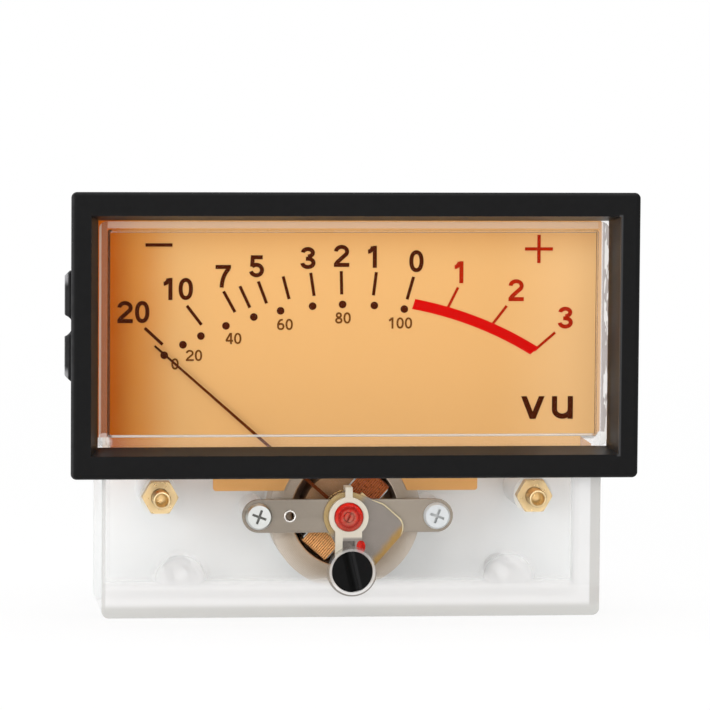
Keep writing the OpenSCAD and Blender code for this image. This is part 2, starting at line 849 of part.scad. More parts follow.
// Jewel screw with a driver slot at one end and the pivot's cup at the other
module front_jewel_screw() {
    face_d = bush_d - jewel_proud;
    tip_d = strap_back_d + jewel_proud;
    color([0.8, 0.25, 0.18])
        difference() {
            turned(0, pivot_z, front_jewel_r, face_d, tip_d);
            turned(0, pivot_z, pivot_pin_r + running_gap, tip_d - jewel_cup, tip_d + bite);
            translate([0, 0, pivot_z])
                slab(face_d - bite, face_d + jewel_slot_depth)
                    rotate(jewel_slot_turn)
                        square([3 * front_jewel_r, jewel_slot_w], center = true);
        }
}

module rear_jewel_screw() {
    tip_d = base_d - jewel_cup + jewel_proud;
    color([0.78, 0.68, 0.42])
        difference() {
            turned(0, pivot_z, rear_jewel_r, tip_d, base_back_d);
            turned(0, pivot_z, pivot_pin_r + running_gap, tip_d - bite, tip_d + jewel_cup);
            translate([0, 0, pivot_z])
                slab(base_back_d - jewel_slot_depth, base_back_d + bite)
                    square([3 * rear_jewel_r, jewel_slot_w], center = true);
        }
}

// Needle, hub ring and balance arms, cut from one sheet
module pointer() {
    hub_r = collet_r + hub_wall;
    color([0.12, 0.11, 0.1])
        at_pivot(-rest_angle)
            slab(pointer_d, pointer_back_d)
                difference() {
                    union() {
                        circle(hub_r);
                        polygon([[-needle_root_w / 2, 0], [needle_root_w / 2, 0],
                            [needle_tip_w / 2, needle_len], [-needle_tip_w / 2, needle_len]]);
                        translate([-arm_w / 2, -tail_len])
                            square([arm_w, tail_len]);
                        translate([-side_arm, -arm_w / 2])
                            square([2 * side_arm, arm_w]);
                    }
                    circle(collet_r + fixed_gap);
                }
}

// Sleeves on the balance arms: a heavy one on the tail against the needle, and two light ones
module balance_weights() {
    color([0.75, 0.65, 0.4])
        at_pivot(-rest_angle) {
            translate([0, 0, tail_weight_l / 2 - tail_len + arm_end])
                weight_sleeve([tail_weight_w, tail_weight_l], [arm_w, 2 * tail_weight_l], tail_weight_h);
            for (side = [-1, 1])
                translate([side * (side_arm - side_weight / 2 - arm_end), 0, 0])
                    weight_sleeve([side_weight, side_weight], [2 * side_weight, arm_w], side_weight);
        }
}

// Block round an arm of the pointer, with the arm's own opening
module weight_sleeve(size, opening, height) {
    mid_d = (pointer_d + pointer_back_d) / 2;
    difference() {
        slab(mid_d - height / 2, mid_d + height / 2)
            square(size, center = true);
        slab(pointer_d - arm_fit, pointer_back_d + arm_fit)
            square(opening + 2 * [arm_fit, arm_fit], center = true);
    }
}

// Pivot glued to the coil: foot, collet for the hairspring and pin
module pivot(foot, collet_end, pin_end) {
    inward = foot > pin_end ? 1 : -1;
    foot_face = foot - inward * foot_thick;
    turned(0, pivot_z, collet_r + foot_margin, min(foot, foot_face), max(foot, foot_face));
    turned(0, pivot_z, collet_r, min(collet_end, foot_face), max(collet_end, foot_face));
    turned(0, pivot_z, pivot_pin_r, min(pin_end, collet_end), max(pin_end, collet_end));
}

module front_pivot() {
    color([0.75, 0.73, 0.7])
        pivot(winding_d, spring_d, strap_back_d - pin_in_cup);
}

module rear_pivot() {
    color([0.75, 0.73, 0.7])
        pivot(winding_back_d, rear_spring_back_d, base_d + fixed_gap);
}

// Flat loop round the core, across the needle
module coil_loop(inner, front, back, wall, w) {
    outer = inner + wall;
    at_pivot(-rest_angle)
        difference() {
            translate([-outer, y_of(front - wall), -w / 2])
                cube([2 * outer, back - front + 2 * wall, w]);
            translate([-inner, y_of(front), -w])
                cube([2 * inner, back - front, 2 * w]);
        }
}

module coil_former() {
    color([0.8, 0.8, 0.78])
        coil_loop(former_in, former_d + former_wall, former_back_d - former_wall, former_wall, coil_w);
}

module coil_winding() {
    color([0.78, 0.48, 0.25])
        coil_loop(winding_in, former_d, former_back_d, winding_build, coil_w - 2 * winding_inset);
}

// Spiral strip from the collet out to its anchor, ending at an angle from upright
module hairspring(front, back, end_angle) {
    steps = 24 * spring_turns;
    start_r = collet_r + running_gap;
    growth = (spring_r - start_r) / steps;
    function reach(i) = start_r + growth * i;
    function way(i) = end_angle - 360 * spring_turns * (1 - i / steps);
    function point(i, out) = (reach(i) + out) * [sin(way(i)), cos(way(i))];
    inner_edge = [for (i = [0:steps]) point(i, 0)];
    outer_edge = [for (i = [steps:-1:0]) point(i, spring_thick)];
    translate([0, 0, pivot_z])
        slab(front, back)
            polygon(concat(inner_edge, outer_edge));
}

module front_hairspring() {
    color([0.8, 0.65, 0.35])
        hairspring(spring_d, spring_back_d, 0);
}

module rear_hairspring() {
    color([0.8, 0.65, 0.35])
        hairspring(rear_spring_d, rear_spring_back_d, 0);
}

// Lever that turns on the bush: ring, fork for the eccentric pin, stem with the spring's tag
module zero_lever() {
    fork_end = adjuster_drop - eccentric_offset + eccentric_r + fork_tip;
    fork_root = lever_ring_r + fork_tip;
    half_w = fork_slot / 2 + fork_leg_w;
    leg_r = fork_leg_w / 2;
    color([0.82, 0.8, 0.73]) {
        difference() {
            union() {
                turned(0, pivot_z, lever_ring_r, lever_d, lever_back_d);
                translate([0, 0, pivot_z])
                    slab(lever_d, lever_back_d) {
                        translate([-half_w, leg_r - fork_end])
                            square([2 * half_w, fork_end - leg_r]);
                        both_sides(half_w - leg_r)
                            translate([0, leg_r - fork_end])
                                circle(leg_r);
                        translate([-stem_w / 2, 0])
                            square([stem_w, stem_end_r]);
                    }
            }
            turned(0, pivot_z, bush_r + running_gap, lever_d - bite, lever_back_d + bite);
            translate([0, 0, pivot_z])
                slab(lever_d - bite, lever_back_d + bite)
                    translate([-fork_slot / 2, -fork_end - bite])
                        square([fork_slot, fork_end - fork_root + bite]);
        }
        translate([0, 0, pivot_z])
            slab(lever_d, spring_back_d)
                translate([-stem_w / 2, tag_r])
                    square([stem_w, stem_end_r - tag_r]);
    }
}

// Slotted head, shank through the cover, and the eccentric pin for the fork
module zero_adjuster() {
    color([0.08, 0.08, 0.08])
        difference() {
            union() {
                turned(0, adjuster_z, adjuster_head_r, adjuster_face_d, head_back_d);
                turned(0, adjuster_z, adjuster_shank_r, head_back_d - bite, shank_end_d);
                turned(0, adjuster_z + eccentric_offset, eccentric_r, shank_end_d - bite,
                    lever_back_d + lever_play / 2);
            }
            translate([0, 0, adjuster_z])
                rotate([0, slot_turn, 0])
                    slab(adjuster_face_d - bite, adjuster_face_d + slot_depth)
                        square([slot_w, 3 * adjuster_head_r], center = true);
        }
}

module adjuster_clip() {
    color([0.7, 0.7, 0.68])
        difference() {
            turned(0, adjuster_z, adjuster_shank_r + clip_reach, clip_d, clip_d + clip_thick);
            turned(0, adjuster_z, adjuster_shank_r + fixed_gap, clip_d - bite, clip_d + clip_thick + bite);
        }
}

// Threaded stud, tubular at the front, with a plain pin for the wire at the rear
module terminal_studs() {
    thread_end_d = rear_nut_back_d + thread_past_nut;
    color([0.78, 0.64, 0.4])
        both_sides(terminal_x)
            difference() {
                union() {
                    turned(0, terminal_z, stud_r, stud_d, thread_end_d);
                    turned(0, terminal_z, pin_r, thread_end_d - bite, overall_depth);
                }
                turned(0, terminal_z, stud_r - stud_wall, stud_d - bite, stud_d + tube_depth);
            }
}

// Hexagon nut on a stud, with its corners turned off at both ends
module nut(front, back) {
    thick = back - front;
    difference() {
        intersection() {
            translate([0, y_of(back), terminal_z])
                rotate([90, 0, 0])
                    cylinder(h = thick, r = nut_corner_r, $fn = 6);
            turned(0, terminal_z, nut_face_r, front, back, nut_face_r + thick);
            turned(0, terminal_z, nut_face_r + thick, front, back, nut_face_r);
        }
        turned(0, terminal_z, stud_r + fixed_gap, front - bite, back + bite);
    }
}

module terminal_nuts() {
    color([0.73, 0.59, 0.38])
        both_sides(terminal_x)
            nut(nut_d, boss_d);
}

module rear_nuts() {
    color([0.73, 0.59, 0.38])
        both_sides(terminal_x)
            nut(rear_nut_d, rear_nut_back_d);
}

// Ring tag under the rear nut, with a tongue for the wire that is bent away from the base
module solder_lugs() {
    ring_r = nut_corner_r + boss_margin;
    color([0.8, 0.79, 0.74])
        both_sides(terminal_x)
            translate([0, 0, terminal_z]) {
                slab(base_back_d, rear_nut_d)
                    difference() {
                        union() {
                            circle(ring_r);
                            translate([-lug_w / 2, -ring_r])
                                square([lug_w, ring_r]);
                        }
                        circle(stud_r + fixed_gap);
                    }
                translate([0, y_of(base_back_d), -ring_r])
                    rotate([90 + lug_bend, 0, 0])
                        translate([0, 0, -lug_thick])
                            linear_extrude(lug_thick)
                                lug_tongue();
            }
}

// Outline of the tongue of a solder lug, below its bend
module lug_tongue() {
    difference() {
        union() {
            translate([-lug_w / 2, -lug_len])
                square([lug_w, lug_len]);
            translate([0, -lug_len])
                circle(lug_w / 2);
        }
        translate([0, -lug_len])
            circle(lug_hole_r);
    }
}

module cover_screws() {
    color([0.72, 0.72, 0.7])
        both_sides(pillar_spacing / 2)
            translate([0, 0, pillar_z])
                rear_screw(screw_seat_d, cover_screw_len);
}

bezel();
clear_cover();
base();
dial();
scale_print_black();
scale_print_red();
pointer_stops();
dial_screws();
yoke_ring();
core_magnet();
core_spacers();
yoke_screws();
bridge_strap();
strap_screws();
bridge_plate();
front_bush();
front_jewel_screw();
rear_jewel_screw();
pointer();
balance_weights();
front_pivot();
rear_pivot();
coil_former();
coil_winding();
front_hairspring();
rear_hairspring();
zero_lever();
zero_adjuster();
adjuster_clip();
terminal_studs();
terminal_nuts();
solder_lugs();
rear_nuts();
cover_screws();
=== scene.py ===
"""Dresses a moving-coil VU meter: finishes, printed figures, wire, threads, paint and a studio.

Lengths inside the shape functions are millimetres in the meter's own frame, and the meshes are metres.
"""
import json
import math

import bpy
import numpy as np
from mathutils import Matrix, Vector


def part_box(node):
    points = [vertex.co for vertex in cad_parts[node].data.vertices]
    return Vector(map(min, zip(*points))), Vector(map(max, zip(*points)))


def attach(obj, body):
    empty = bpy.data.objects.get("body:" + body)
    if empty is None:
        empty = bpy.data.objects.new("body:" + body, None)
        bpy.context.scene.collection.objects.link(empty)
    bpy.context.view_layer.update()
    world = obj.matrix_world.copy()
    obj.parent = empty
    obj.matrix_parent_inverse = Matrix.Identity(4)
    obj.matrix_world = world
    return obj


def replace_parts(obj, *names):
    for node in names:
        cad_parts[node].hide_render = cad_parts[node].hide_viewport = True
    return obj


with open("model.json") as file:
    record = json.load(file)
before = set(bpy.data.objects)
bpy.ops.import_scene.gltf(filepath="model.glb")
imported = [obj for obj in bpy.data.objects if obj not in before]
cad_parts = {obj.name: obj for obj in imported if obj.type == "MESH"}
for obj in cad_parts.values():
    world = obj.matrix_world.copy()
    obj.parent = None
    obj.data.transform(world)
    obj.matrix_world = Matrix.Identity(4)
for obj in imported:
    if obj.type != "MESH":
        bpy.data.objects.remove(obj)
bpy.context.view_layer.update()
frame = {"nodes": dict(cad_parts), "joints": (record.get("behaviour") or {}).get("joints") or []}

bl_info = {
    "name": "VU Meter",
    "version": (1, 0, 0),
    "blender": (4, 5, 0),
    "location": "View3D > Sidebar > VU Meter",
    "description": "Finishes and fine pieces of a moving-coil VU meter, with its studio",
    "category": "Object",
}

MM = 0.001


def low(node):
    """Lowest corner of a CAD node, in millimetres."""
    return np.array(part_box(node)[0]) / MM


def high(node):
    """Highest corner of a CAD node, in millimetres."""
    return np.array(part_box(node)[1]) / MM


def joint_place(name):
    """Point on a joint's axis, in millimetres."""
    joint = next(j for j in frame["joints"] if j["name"] == name)
    return np.array(joint["pos_m"]) / MM


# Places that the fine pieces and the patterns share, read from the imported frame
PIVOT = joint_place("pointer_swing")
DIAL_FACE = low("dial")[1]
BEZEL_LOW = low("bezel")
BEZEL_HIGH = high("bezel")
BEZEL_MID_Z = (BEZEL_LOW[2] + BEZEL_HIGH[2]) / 2
WINDOW_FRONT = low("clear_cover")[1]
STUD_R = (high("terminal_studs")[2] - low("terminal_studs")[2]) / 2
STUD_X = high("terminal_studs")[0] - STUD_R
STUD_Z = high("terminal_studs")[2] - STUD_R
ADJUSTER = joint_place("zero_adjust")
ADJUSTER_R = high("zero_adjuster")[0]
STRAP_HEAD_R = (high("strap_screws")[2] - low("strap_screws")[2]) / 2
NEEDLE_LEAN = math.atan2(low("pointer")[0], high("pointer")[2] - PIVOT[2])
NEEDLE_REACH = math.hypot(low("pointer")[0], high("pointer")[2] - PIVOT[2])

# Half the width and height of the raised window, half the width of the chin below the bezel, how far the
# chin lies behind the window, the wall of the clear cover and its screw pillars
WINDOW_HALF = (35.05, 15.45)
CHIN_HALF = 34.5
CHIN_BACK = 1.4
COVER_WALL = 1.2
PILLAR_X, PILLAR_Z, PILLAR_R = 22.7, 4.4, 2.0
# Hole in the bridge strap, and the middle line and thickness of the eyelet round it
STRAP_HOLE_X, STRAP_HOLE_R = -8.06, 0.6
EYELET_R, EYELET_WIRE = STRAP_HOLE_R + 0.14, 0.16
# Half the width of the bezel without its ears, and the middle and half the opening of the ears in Z
# Beyond that half opening from their middle, the ends of the ears get a painted highlight
BEZEL_HALF = 39.0
EAR_MID_Z, EAR_DARK = 40.2, 5.4
# Bridge plate: its turn, its radius round the bush, half its width, its reach and its corner radius
PLATE_TURN = math.radians(131)
PLATE_NEAR_R, PLATE_HALF, PLATE_REACH, PLATE_CORNER = 3.4, 4.6, 7.4, 2.0
PLATE_SHOULDER = 0.4 * PLATE_REACH
# Radius of the yoke's bore and of the front jewel screw, and the turn of the slot in the adjuster
YOKE_BORE_R = 7.5
JEWEL_R = 0.65
SLOT_TURN = math.radians(-13)
# Coil: half its reach across the needle, its width along the needle and the corners of its turns
COIL_HALF, COIL_WIDTH, COIL_CORNER = 6.85, 4.3, 0.55
# Lacquer: height of the ring round the jewel screw, and place from the pivot and size of the drop
SWELL_HEIGHT = 0.3
DROP_X, DROP_Z, DROP_SIZE = 1.65, -4.2, (0.68, 0.26, 0.88)

# Printed figures: the text, the middle in X and the middle in Z
LARGE_BLACK = (
    ("20", -29.70, 41.47), ("10", -23.49, 44.67), ("7", -17.26, 46.47), ("5", -12.66, 47.81),
    ("3", -5.49, 48.96), ("2", -0.79, 49.26), ("1", 3.51, 49.13), ("0", 9.67, 48.52),
)
LARGE_RED = (("1", 15.65, 46.98), ("2", 23.71, 44.47), ("3", 30.67, 40.62))
SMALL_BLACK = (
    ("0", -23.90, 34.25), ("20", -21.27, 35.43), ("40", -15.79, 37.78), ("60", -8.63, 39.72),
    ("80", -0.54, 40.62), ("100", 7.51, 39.90),
)
MINUS_SIGN = (-26.19, 50.77)
PLUS_SIGN = (26.85, 50.23)
UNIT_MARK = (28.21, 28.03)
# Outer radius of the red band, and how far its centre lies below the needle's pivot
BAND_R, SCALE_DROP = 51.05, 20.2
# Radius round the same centre that the percent figures stay within, and where they end on the right
PERCENT_R, PERCENT_X = 48.55, 15.0
# Width of the strokes, for the level and percent figures as a share of their height
LARGE_WEIGHT, SMALL_WEIGHT = 0.182, 0.162
SIGN_WEIGHT = 0.46
# Thickness of one film of ink
INK_FILM = 0.01


def color(name, description, default):
    """Colour property with three channels in linear light."""
    return bpy.props.FloatVectorProperty(
        name=name, description=description, default=default, size=3, min=0.0, max=1.0, subtype="COLOR"
    )


def length(name, description, default):
    """Length property in metres."""
    return bpy.props.FloatProperty(
        name=name, description=description, default=default, min=0.0, unit="LENGTH", precision=5
    )


def angle(name, description, degrees):
    """Angle property, given in degrees and kept in radians."""
    return bpy.props.FloatProperty(
        name=name, description=description, default=math.radians(degrees), subtype="ANGLE"
    )


def measure(name, description, default, unit):
    """Number property in one of the units that the sidebar knows."""
    return bpy.props.FloatProperty(name=name, description=description, default=default, min=0.0, unit=unit)


def portion(name, description, default):
    """Number property from nothing to the whole."""
    return bpy.props.FloatProperty(
        name=name, description=description, default=default, min=0.0, max=1.0, subtype="FACTOR"
    )


class MeterColors(bpy.types.PropertyGroup):
    """Colours of the mouldings, the dial, the inks and the metals."""

    bezel: color("Bezel", "Black moulding of the bezel", (0.0085, 0.0085, 0.0088))
    base: color("Base", "White moulding behind the movement", (0.905, 0.92, 0.92))
    dial: color("Dial", "Amber sheet in the middle of the scale", (0.86, 0.475, 0.175))
    # Painted light and shade on the dial: the pale colour lightens it towards the right wall, the edge and
    # warm colours deepen it in the bezel's shade at the left wall, the top and the tab
    dial_pale_light: color("Pale dial", "Paler amber towards the right wall", (0.93, 0.55, 0.235))
    dial_edge_shade: color("Dial edge", "Deeper amber beside the left wall", (0.56, 0.114, 0.003))
    dial_warm_shade: color("Dial warm", "Amber between the middle and the walls", (0.75, 0.272, 0.048))
    ink: color("Ink", "Dark brown printing ink", (0.072, 0.0105, 0.0005))
    thin_ink: color("Thin ink", "Thinner brown ink of the percent figures", (0.17, 0.055, 0.008))
    red_ink: color("Red ink", "Red printing ink of the overload band", (0.68, 0.002, 0.0005))
    red_figure: color("Red figure ink", "Thinner red ink of the figures and ticks", (0.452, 0.017, 0.001))
    needle: color("Needle", "Brown enamel of the needle", (0.125, 0.022, 0.001))
    needle_tip: color("Needle tip", "Dark enamel at the needle's tip and on the stops", (0.050, 0.011, 0.002))
    brass: color("Brass", "Turned brass of studs and nuts", (0.74, 0.56, 0.31))
    steel: color("Steel", "Zinc-plated screws", (0.58, 0.59, 0.57))
    # A whiter, less metallic colour on the head of the right strap screw
    bloom: color("Whiteness", "Pale bloom on the plating of the right strap screw", (0.66, 0.69, 0.71))
    recess: color("Recess", "Shade in the cross recesses of the strap screws", (0.12, 0.12, 0.11))
    pale_zinc: color("Pale zinc", "Plating of the cover screws", (0.94, 0.94, 0.93))
    eyelet: color("Eyelet", "Bright steel of the eyelet in the strap", (0.75, 0.72, 0.68))
    strap: color("Strap", "Grey plated bridge strap", (0.30, 0.255, 0.205))
    plate: color("Plate", "Grey plated bridge plate", (0.235, 0.205, 0.18))
    plate_edge: color("Plate edge", "Bare brass at the end of the plate", (0.34, 0.20, 0.055))
    plate_pale: color("Pale plate", "Pale brass round the bush", (0.40, 0.28, 0.12))
    rim: color("Plate rim", "Pale bead on the edge of the plate", (0.74, 0.64, 0.42))
    lacquer: color("Lacquer", "Red locking lacquer", (0.60, 0.016, 0.008))
    # Thin lacquer over the jewel screw, also laid as painted glints there and as painted shade on the lower
    # part of the lacquer
    lacquer_thin_glint_shade: color("Pale lacquer", "Thin lacquer over the jewel screw", (0.50, 0.13, 0.09))
    iron: color("Iron", "Plated soft iron of the yoke", (0.48, 0.39, 0.30))
    # A brown laid in the yoke's bore and on the base behind the movement, and a pale colour in the right of
    # the bore
    stain: color("Umber", "Brown stain in the bore of the yoke and behind it", (0.46, 0.25, 0.12))
    bore: color("Bore", "Pale colour in the right of the bore", (0.74, 0.60, 0.48))
    iron_rim: color("Iron rim", "Brighter plating at the rim of the yoke", (0.62, 0.55, 0.47))
    magnet: color("Magnet", "Varnished core magnet", (0.36, 0.19, 0.085))
    copper: color("Copper", "Enamelled copper wire", (0.74, 0.37, 0.13))
    dark_copper: color("Dark copper", "Wire in the shade of the dial", (0.48, 0.115, 0.022))
    aluminium: color("Aluminium", "Coil former", (0.68, 0.68, 0.66))
    bronze: color("Bronze", "Hairspring strip", (0.62, 0.42, 0.17))
    cream: color("Cream", "Moulded zero lever", (0.74, 0.68, 0.56))
    adjuster: color("Adjuster", "Black moulded adjuster", (0.005, 0.005, 0.0052))


class MeterSizes(bpy.types.PropertyGroup):
    """Sizes of the print and of the fine pieces."""

    large_figure: length("Large figures", "Height of the level figures", 3.06 * MM)
    small_figure: length("Small figures", "Height of the percent figures", 1.56 * MM)
    unit_letter: length("Unit letters", "Height of the letters of the unit", 3.18 * MM)
    sign: length("Signs", "Length of the minus sign; the plus sign is a twentieth longer", 3.75 * MM)
    relief: length("Relief", "Thickness of the printed ink", 0.06 * MM)
    wire: length("Wire", "Diameter of the winding's wire", 0.30 * MM)
    thread_pitch: length("Thread pitch", "Pitch of the thread on the studs", 0.45 * MM)
    thread_depth: length("Thread depth", "Depth of that thread", 0.14 * MM)
    bead: length("Bead", "Radius of the bead on the bridge plate", 0.13 * MM)
    fillet: length("Fillet", "Inside fillet of the window", 0.36 * MM)


class MeterStage(bpy.types.PropertyGroup):
    """Camera and lamps of the studio."""

    distance: length("Distance", "Distance of the camera in front of the bezel's middle", 700 * MM)
    yaw: angle("Yaw", "How far the camera stands to the left", 6.2)
    pitch: angle("Pitch", "How far the camera stands above", 5.0)
    roll: angle("Roll", "Turn of the camera about its view", 0.428)
    aside: length("Aside", "Distance of the camera to the left of the middle", 75.61 * MM)
    above: length("Above", "Height of the camera above the bezel's middle", 58.45 * MM)
    lens: measure("Lens", "Focal length in millimetres on a 36 mm sensor", 260.22, "CAMERA")
    world: portion("World", "Strength of the even light from all sides", 0.48)
    key: measure("Key", "Power of the softbox at the left, in watts", 3.3, "POWER")
    front: measure("Front", "Power of the softbox in front, in watts", 4.6, "POWER")
    top: measure("Top", "Power of the softbox above, in watts", 10.0, "POWER")
    floor_glow: portion("Floor glow", "Share of plain white in the floor beside the meter", 0.85)


class MeterSettings(bpy.types.PropertyGroup):
    """All settings of the meter."""

    colors: bpy.props.PointerProperty(type=MeterColors, name="Colours", description="Colours of the finishes")
    sizes: bpy.props.PointerProperty(type=MeterSizes, name="Sizes", description="Sizes of the fine pieces")
    stage: bpy.props.PointerProperty(type=MeterStage, name="Stage", description="Camera and lamps")


def shade(tone, factor=1.0):
    """Colour times a factor, with full alpha."""
    return tuple(min(channel * factor, 1.0) for channel in tone) + (1.0,)


class Finish:
    """Node tree of one material, with short calls for the nodes that the finishes share."""

    def __init__(self, name):
        self.material = bpy.data.materials.new(name)
        self.material.use_nodes = True
        self.nodes = self.material.node_tree.nodes
        self.links = self.material.node_tree.links
        self.nodes.clear()
        self.output = self.nodes.new("ShaderNodeOutputMaterial")
        self.shader = self.nodes.new("ShaderNodeBsdfPrincipled")
        self.show(self.shader)
        self.place = self.nodes.new("ShaderNodeTexCoord").outputs["Object"]

    def show(self, node):
        """Makes a shader node the surface."""
        self.links.new(node.outputs[0], self.output.inputs["Surface"])

    def put(self, value, socket):
        """Links a socket, or sets a plain value."""
        if isinstance(value, bpy.types.NodeSocket):
            self.links.new(value, socket)
        else:
            socket.default_value = value

    def set(self, **values):
        """Sets sockets of the Principled shader; an underscore in a name stands for a space."""
        for name, value in values.items():
            self.put(value, self.shader.inputs[name.replace("_", " ")])

    def math(self, operation, first, second=0.0):
        """Math node."""
        node = self.nodes.new("ShaderNodeMath")
        node.operation = operation
        self.put(first, node.inputs[0])
        self.put(second, node.inputs[1])
        return node.outputs[0]

    def span(self, value, start, end, to=(0.0, 1.0)):
        """Smooth step of a value from start to end."""
        node = self.nodes.new("ShaderNodeMapRange")
        node.interpolation_type = "SMOOTHSTEP"
        for socket, entry in zip(node.inputs, (value, start, end, *to)):
            self.put(entry, socket)
        return node.outputs[0]

    def noise(self, size, detail=3.0, stretch=(1.0, 1.0, 1.0)):
        """Noise with lumps of a size in millimetres, longer along an axis by its stretch."""
        mapping = self.nodes.new("ShaderNodeMapping")
        self.put(self.place, mapping.inputs["Vector"])
        mapping.inputs["Scale"].default_value = [1.0 / (size * MM * factor) for factor in stretch]
        node = self.nodes.new("ShaderNodeTexNoise")
        self.put(mapping.outputs[0], node.inputs["Vector"])
        self.put(1.0, node.inputs["Scale"])
        self.put(detail, node.inputs["Detail"])
        return node.outputs[0]

    def blend(self, factor, first, second):
        """Mix of two colours."""
        node = self.nodes.new("ShaderNodeMix")
        node.data_type = "RGBA"
        self.put(factor, node.inputs[0])
        self.put(first, node.inputs[6])
        self.put(second, node.inputs[7])
        return node.outputs[2]

    def axes(self):
        """X, Y and Z of the surface point, in millimetres."""
        node = self.nodes.new("ShaderNodeSeparateXYZ")
        self.put(self.place, node.inputs[0])
        return [self.math("DIVIDE", socket, MM) for socket in node.outputs]

    def facing(self, index):
        """Size of one part of the surface normal, from 0 to 1."""
        coordinates = self.nodes.new("ShaderNodeTexCoord")
        node = self.nodes.new("ShaderNodeSeparateXYZ")
        self.put(coordinates.outputs["Normal"], node.inputs[0])
        return self.math("ABSOLUTE", node.outputs[index])

    def product(self, first, *others):
        """Product of values, such as the overlap of masks."""
        for other in others:
            first = self.math("MULTIPLY", first, other)
        return first

    def reach(self, first, second):
        """Distance from the origin of two coordinates: the root of the sum of their squares."""
        return self.math("SQRT", self.math("ADD", self.product(first, first), self.product(second, second)))

    def radius(self, centre_x, centre_z, mirrored=False):
        """Distance from a point in the front view, or from the nearer of that point and its mirror image."""
        x, _, z = self.axes()
        across = self.math("ABSOLUTE", x) if mirrored else x
        return self.reach(self.math("SUBTRACT", across, centre_x), self.math("SUBTRACT", z, centre_z))

    def along(self, centre_z, turn):
        """Distance from a point on the middle line, along a direction turned from up to the right."""
        x, _, z = self.axes()
        rise = self.math("SUBTRACT", z, centre_z)
        return self.math("ADD", self.product(x, math.sin(turn)), self.product(rise, math.cos(turn)))

    def bump(self, height, depth):
        """Bump of a depth in millimetres."""
        node = self.nodes.new("ShaderNodeBump")
        node.inputs["Distance"].default_value = depth * MM
        self.put(height, node.inputs["Height"])
        self.put(node.outputs[0], self.shader.inputs["Normal"])

    def mix_shaders(self, factor, first, second):
        """Mix of two shader nodes."""
        node = self.nodes.new("ShaderNodeMixShader")
        self.put(factor, node.inputs[0])
        self.put(first.outputs[0], node.inputs[1])
        self.put(second.outputs[0], node.inputs[2])
        return node


def grained(name, tone, grain, rough, drift=0.1, depth=0.004, metal=0.0,
            stretch=(1.0, 1.0, 1.0), relief=None):
    """Finish whose colour drifts with broad noise, its roughness with finer noise, over a fine grain.

    The tone is a colour, or a function that makes a colour socket from the finish. A relief is a function
    that makes the height of the bump, in place of the grain.
    """
    finish = Finish(name)
    if callable(tone):
        finish.set(Base_Color=tone(finish))
    else:
        broad = finish.span(finish.noise(30 * grain, stretch=stretch), 0.3, 0.7)
        finish.set(Base_Color=finish.blend(broad, shade(tone, 1 - drift), shade(tone, 1 + drift)))
    finish.set(Roughness=finish.span(finish.noise(6 * grain, stretch=stretch), 0.3, 0.7, rough))
    finish.bump(relief(finish) if relief else finish.noise(grain, 2.0, stretch), depth)
    finish.set(Metallic=metal)
    return finish


def dress(finish, *nodes):
    """Gives CAD nodes a finish."""
    for node in nodes:
        for slot in frame["nodes"][node].material_slots:
            slot.material = finish.material


def bezel_finish(colors):
    """Satin black moulding with a spark texture and smooth walls inside; painted highlights on its edges and
    ear ends.
    """
    finish = Finish("Black moulding")
    x, y, z = finish.axes()
    front = BEZEL_LOW[1]
    half_h = (BEZEL_HIGH[2] - BEZEL_LOW[2]) / 2
    aside = finish.math("ABSOLUTE", x)
    rise = finish.math("ABSOLUTE", finish.math("SUBTRACT", z, BEZEL_MID_Z))
    inside = finish.product(finish.span(aside, BEZEL_HALF - 2.4, BEZEL_HALF - 2.6),
                            finish.span(rise, half_h - 2.9, half_h - 3.1))
    wall = finish.product(inside, finish.span(y, front + 0.05, front + 0.2))
    tone = finish.blend(finish.noise(4.0), shade(colors.bezel, 0.9), shade(colors.bezel, 1.12))
    # Painted highlight along the top and bottom outer edges, broken by noise
    along = finish.product(finish.span(rise, half_h - 0.4, half_h), finish.noise(1.6))
    tone = finish.blend(along, tone, shade(colors.bezel, 3.0))
    # Painted highlight of the key light on the left outer edge
    across = finish.product(finish.span(x, 0.55 - BEZEL_HALF, 0.05 - BEZEL_HALF),
                            finish.span(finish.noise(1.2), 0.3, 0.6, (0.7, 1.0)))
    tone = finish.blend(across, tone, shade(colors.bezel, 5.5))
    # Painted highlight on the ends of the ears
    off = finish.math("ABSOLUTE", finish.math("SUBTRACT", z, EAR_MID_Z))
    ear = finish.product(finish.span(aside, BEZEL_HALF + 0.1, BEZEL_HALF + 0.3),
                         finish.span(off, EAR_DARK, EAR_DARK + 1.2))
    tone = finish.blend(ear, tone, shade(colors.bezel, 50.0))
    # Painted highlight on the lip at the right wall of the opening
    lip = finish.product(inside, finish.span(x, BEZEL_HALF - 3.1, BEZEL_HALF - 2.9),
                         finish.span(y, front + 0.45, front + 0.2))
    finish.set(Base_Color=finish.blend(lip, tone, shade(colors.bezel, 6.0)))
    rough = finish.span(finish.noise(0.8), 0.3, 0.7, (0.44, 0.6))
    finish.set(Roughness=finish.span(wall, 0.0, 1.0, (rough, 0.42)))
    shine = finish.span(finish.span(x, 20.0, 30.0), 0.0, 1.0, (0.18, 0.6))
    finish.set(Specular_IOR_Level=finish.span(wall, 0.0, 1.0, (0.06, shine)))
    finish.bump(finish.product(finish.noise(0.16, 2.0), finish.math("SUBTRACT", 1.0, wall)), 0.005)
    return finish


def base_finish(colors):
    """White moulding with a faint flow pattern, brown behind the movement."""

    def moulding(finish):
        _, y, _ = finish.axes()
        front = finish.span(y, high("base")[1] - 1.2, high("base")[1] - 1.4)
        near = finish.span(finish.radius(0.0, PIVOT[2]), 9.0, 8.4)
        white = finish.blend(finish.noise(7.5), shade(colors.base, 0.985), shade(colors.base, 1.015))
        return finish.blend(finish.product(front, near), white, shade(colors.stain))

    finish = grained("White moulding", moulding, 0.25, (0.42, 0.55), depth=0.003)
    finish.set(Specular_IOR_Level=0.35)
    return finish


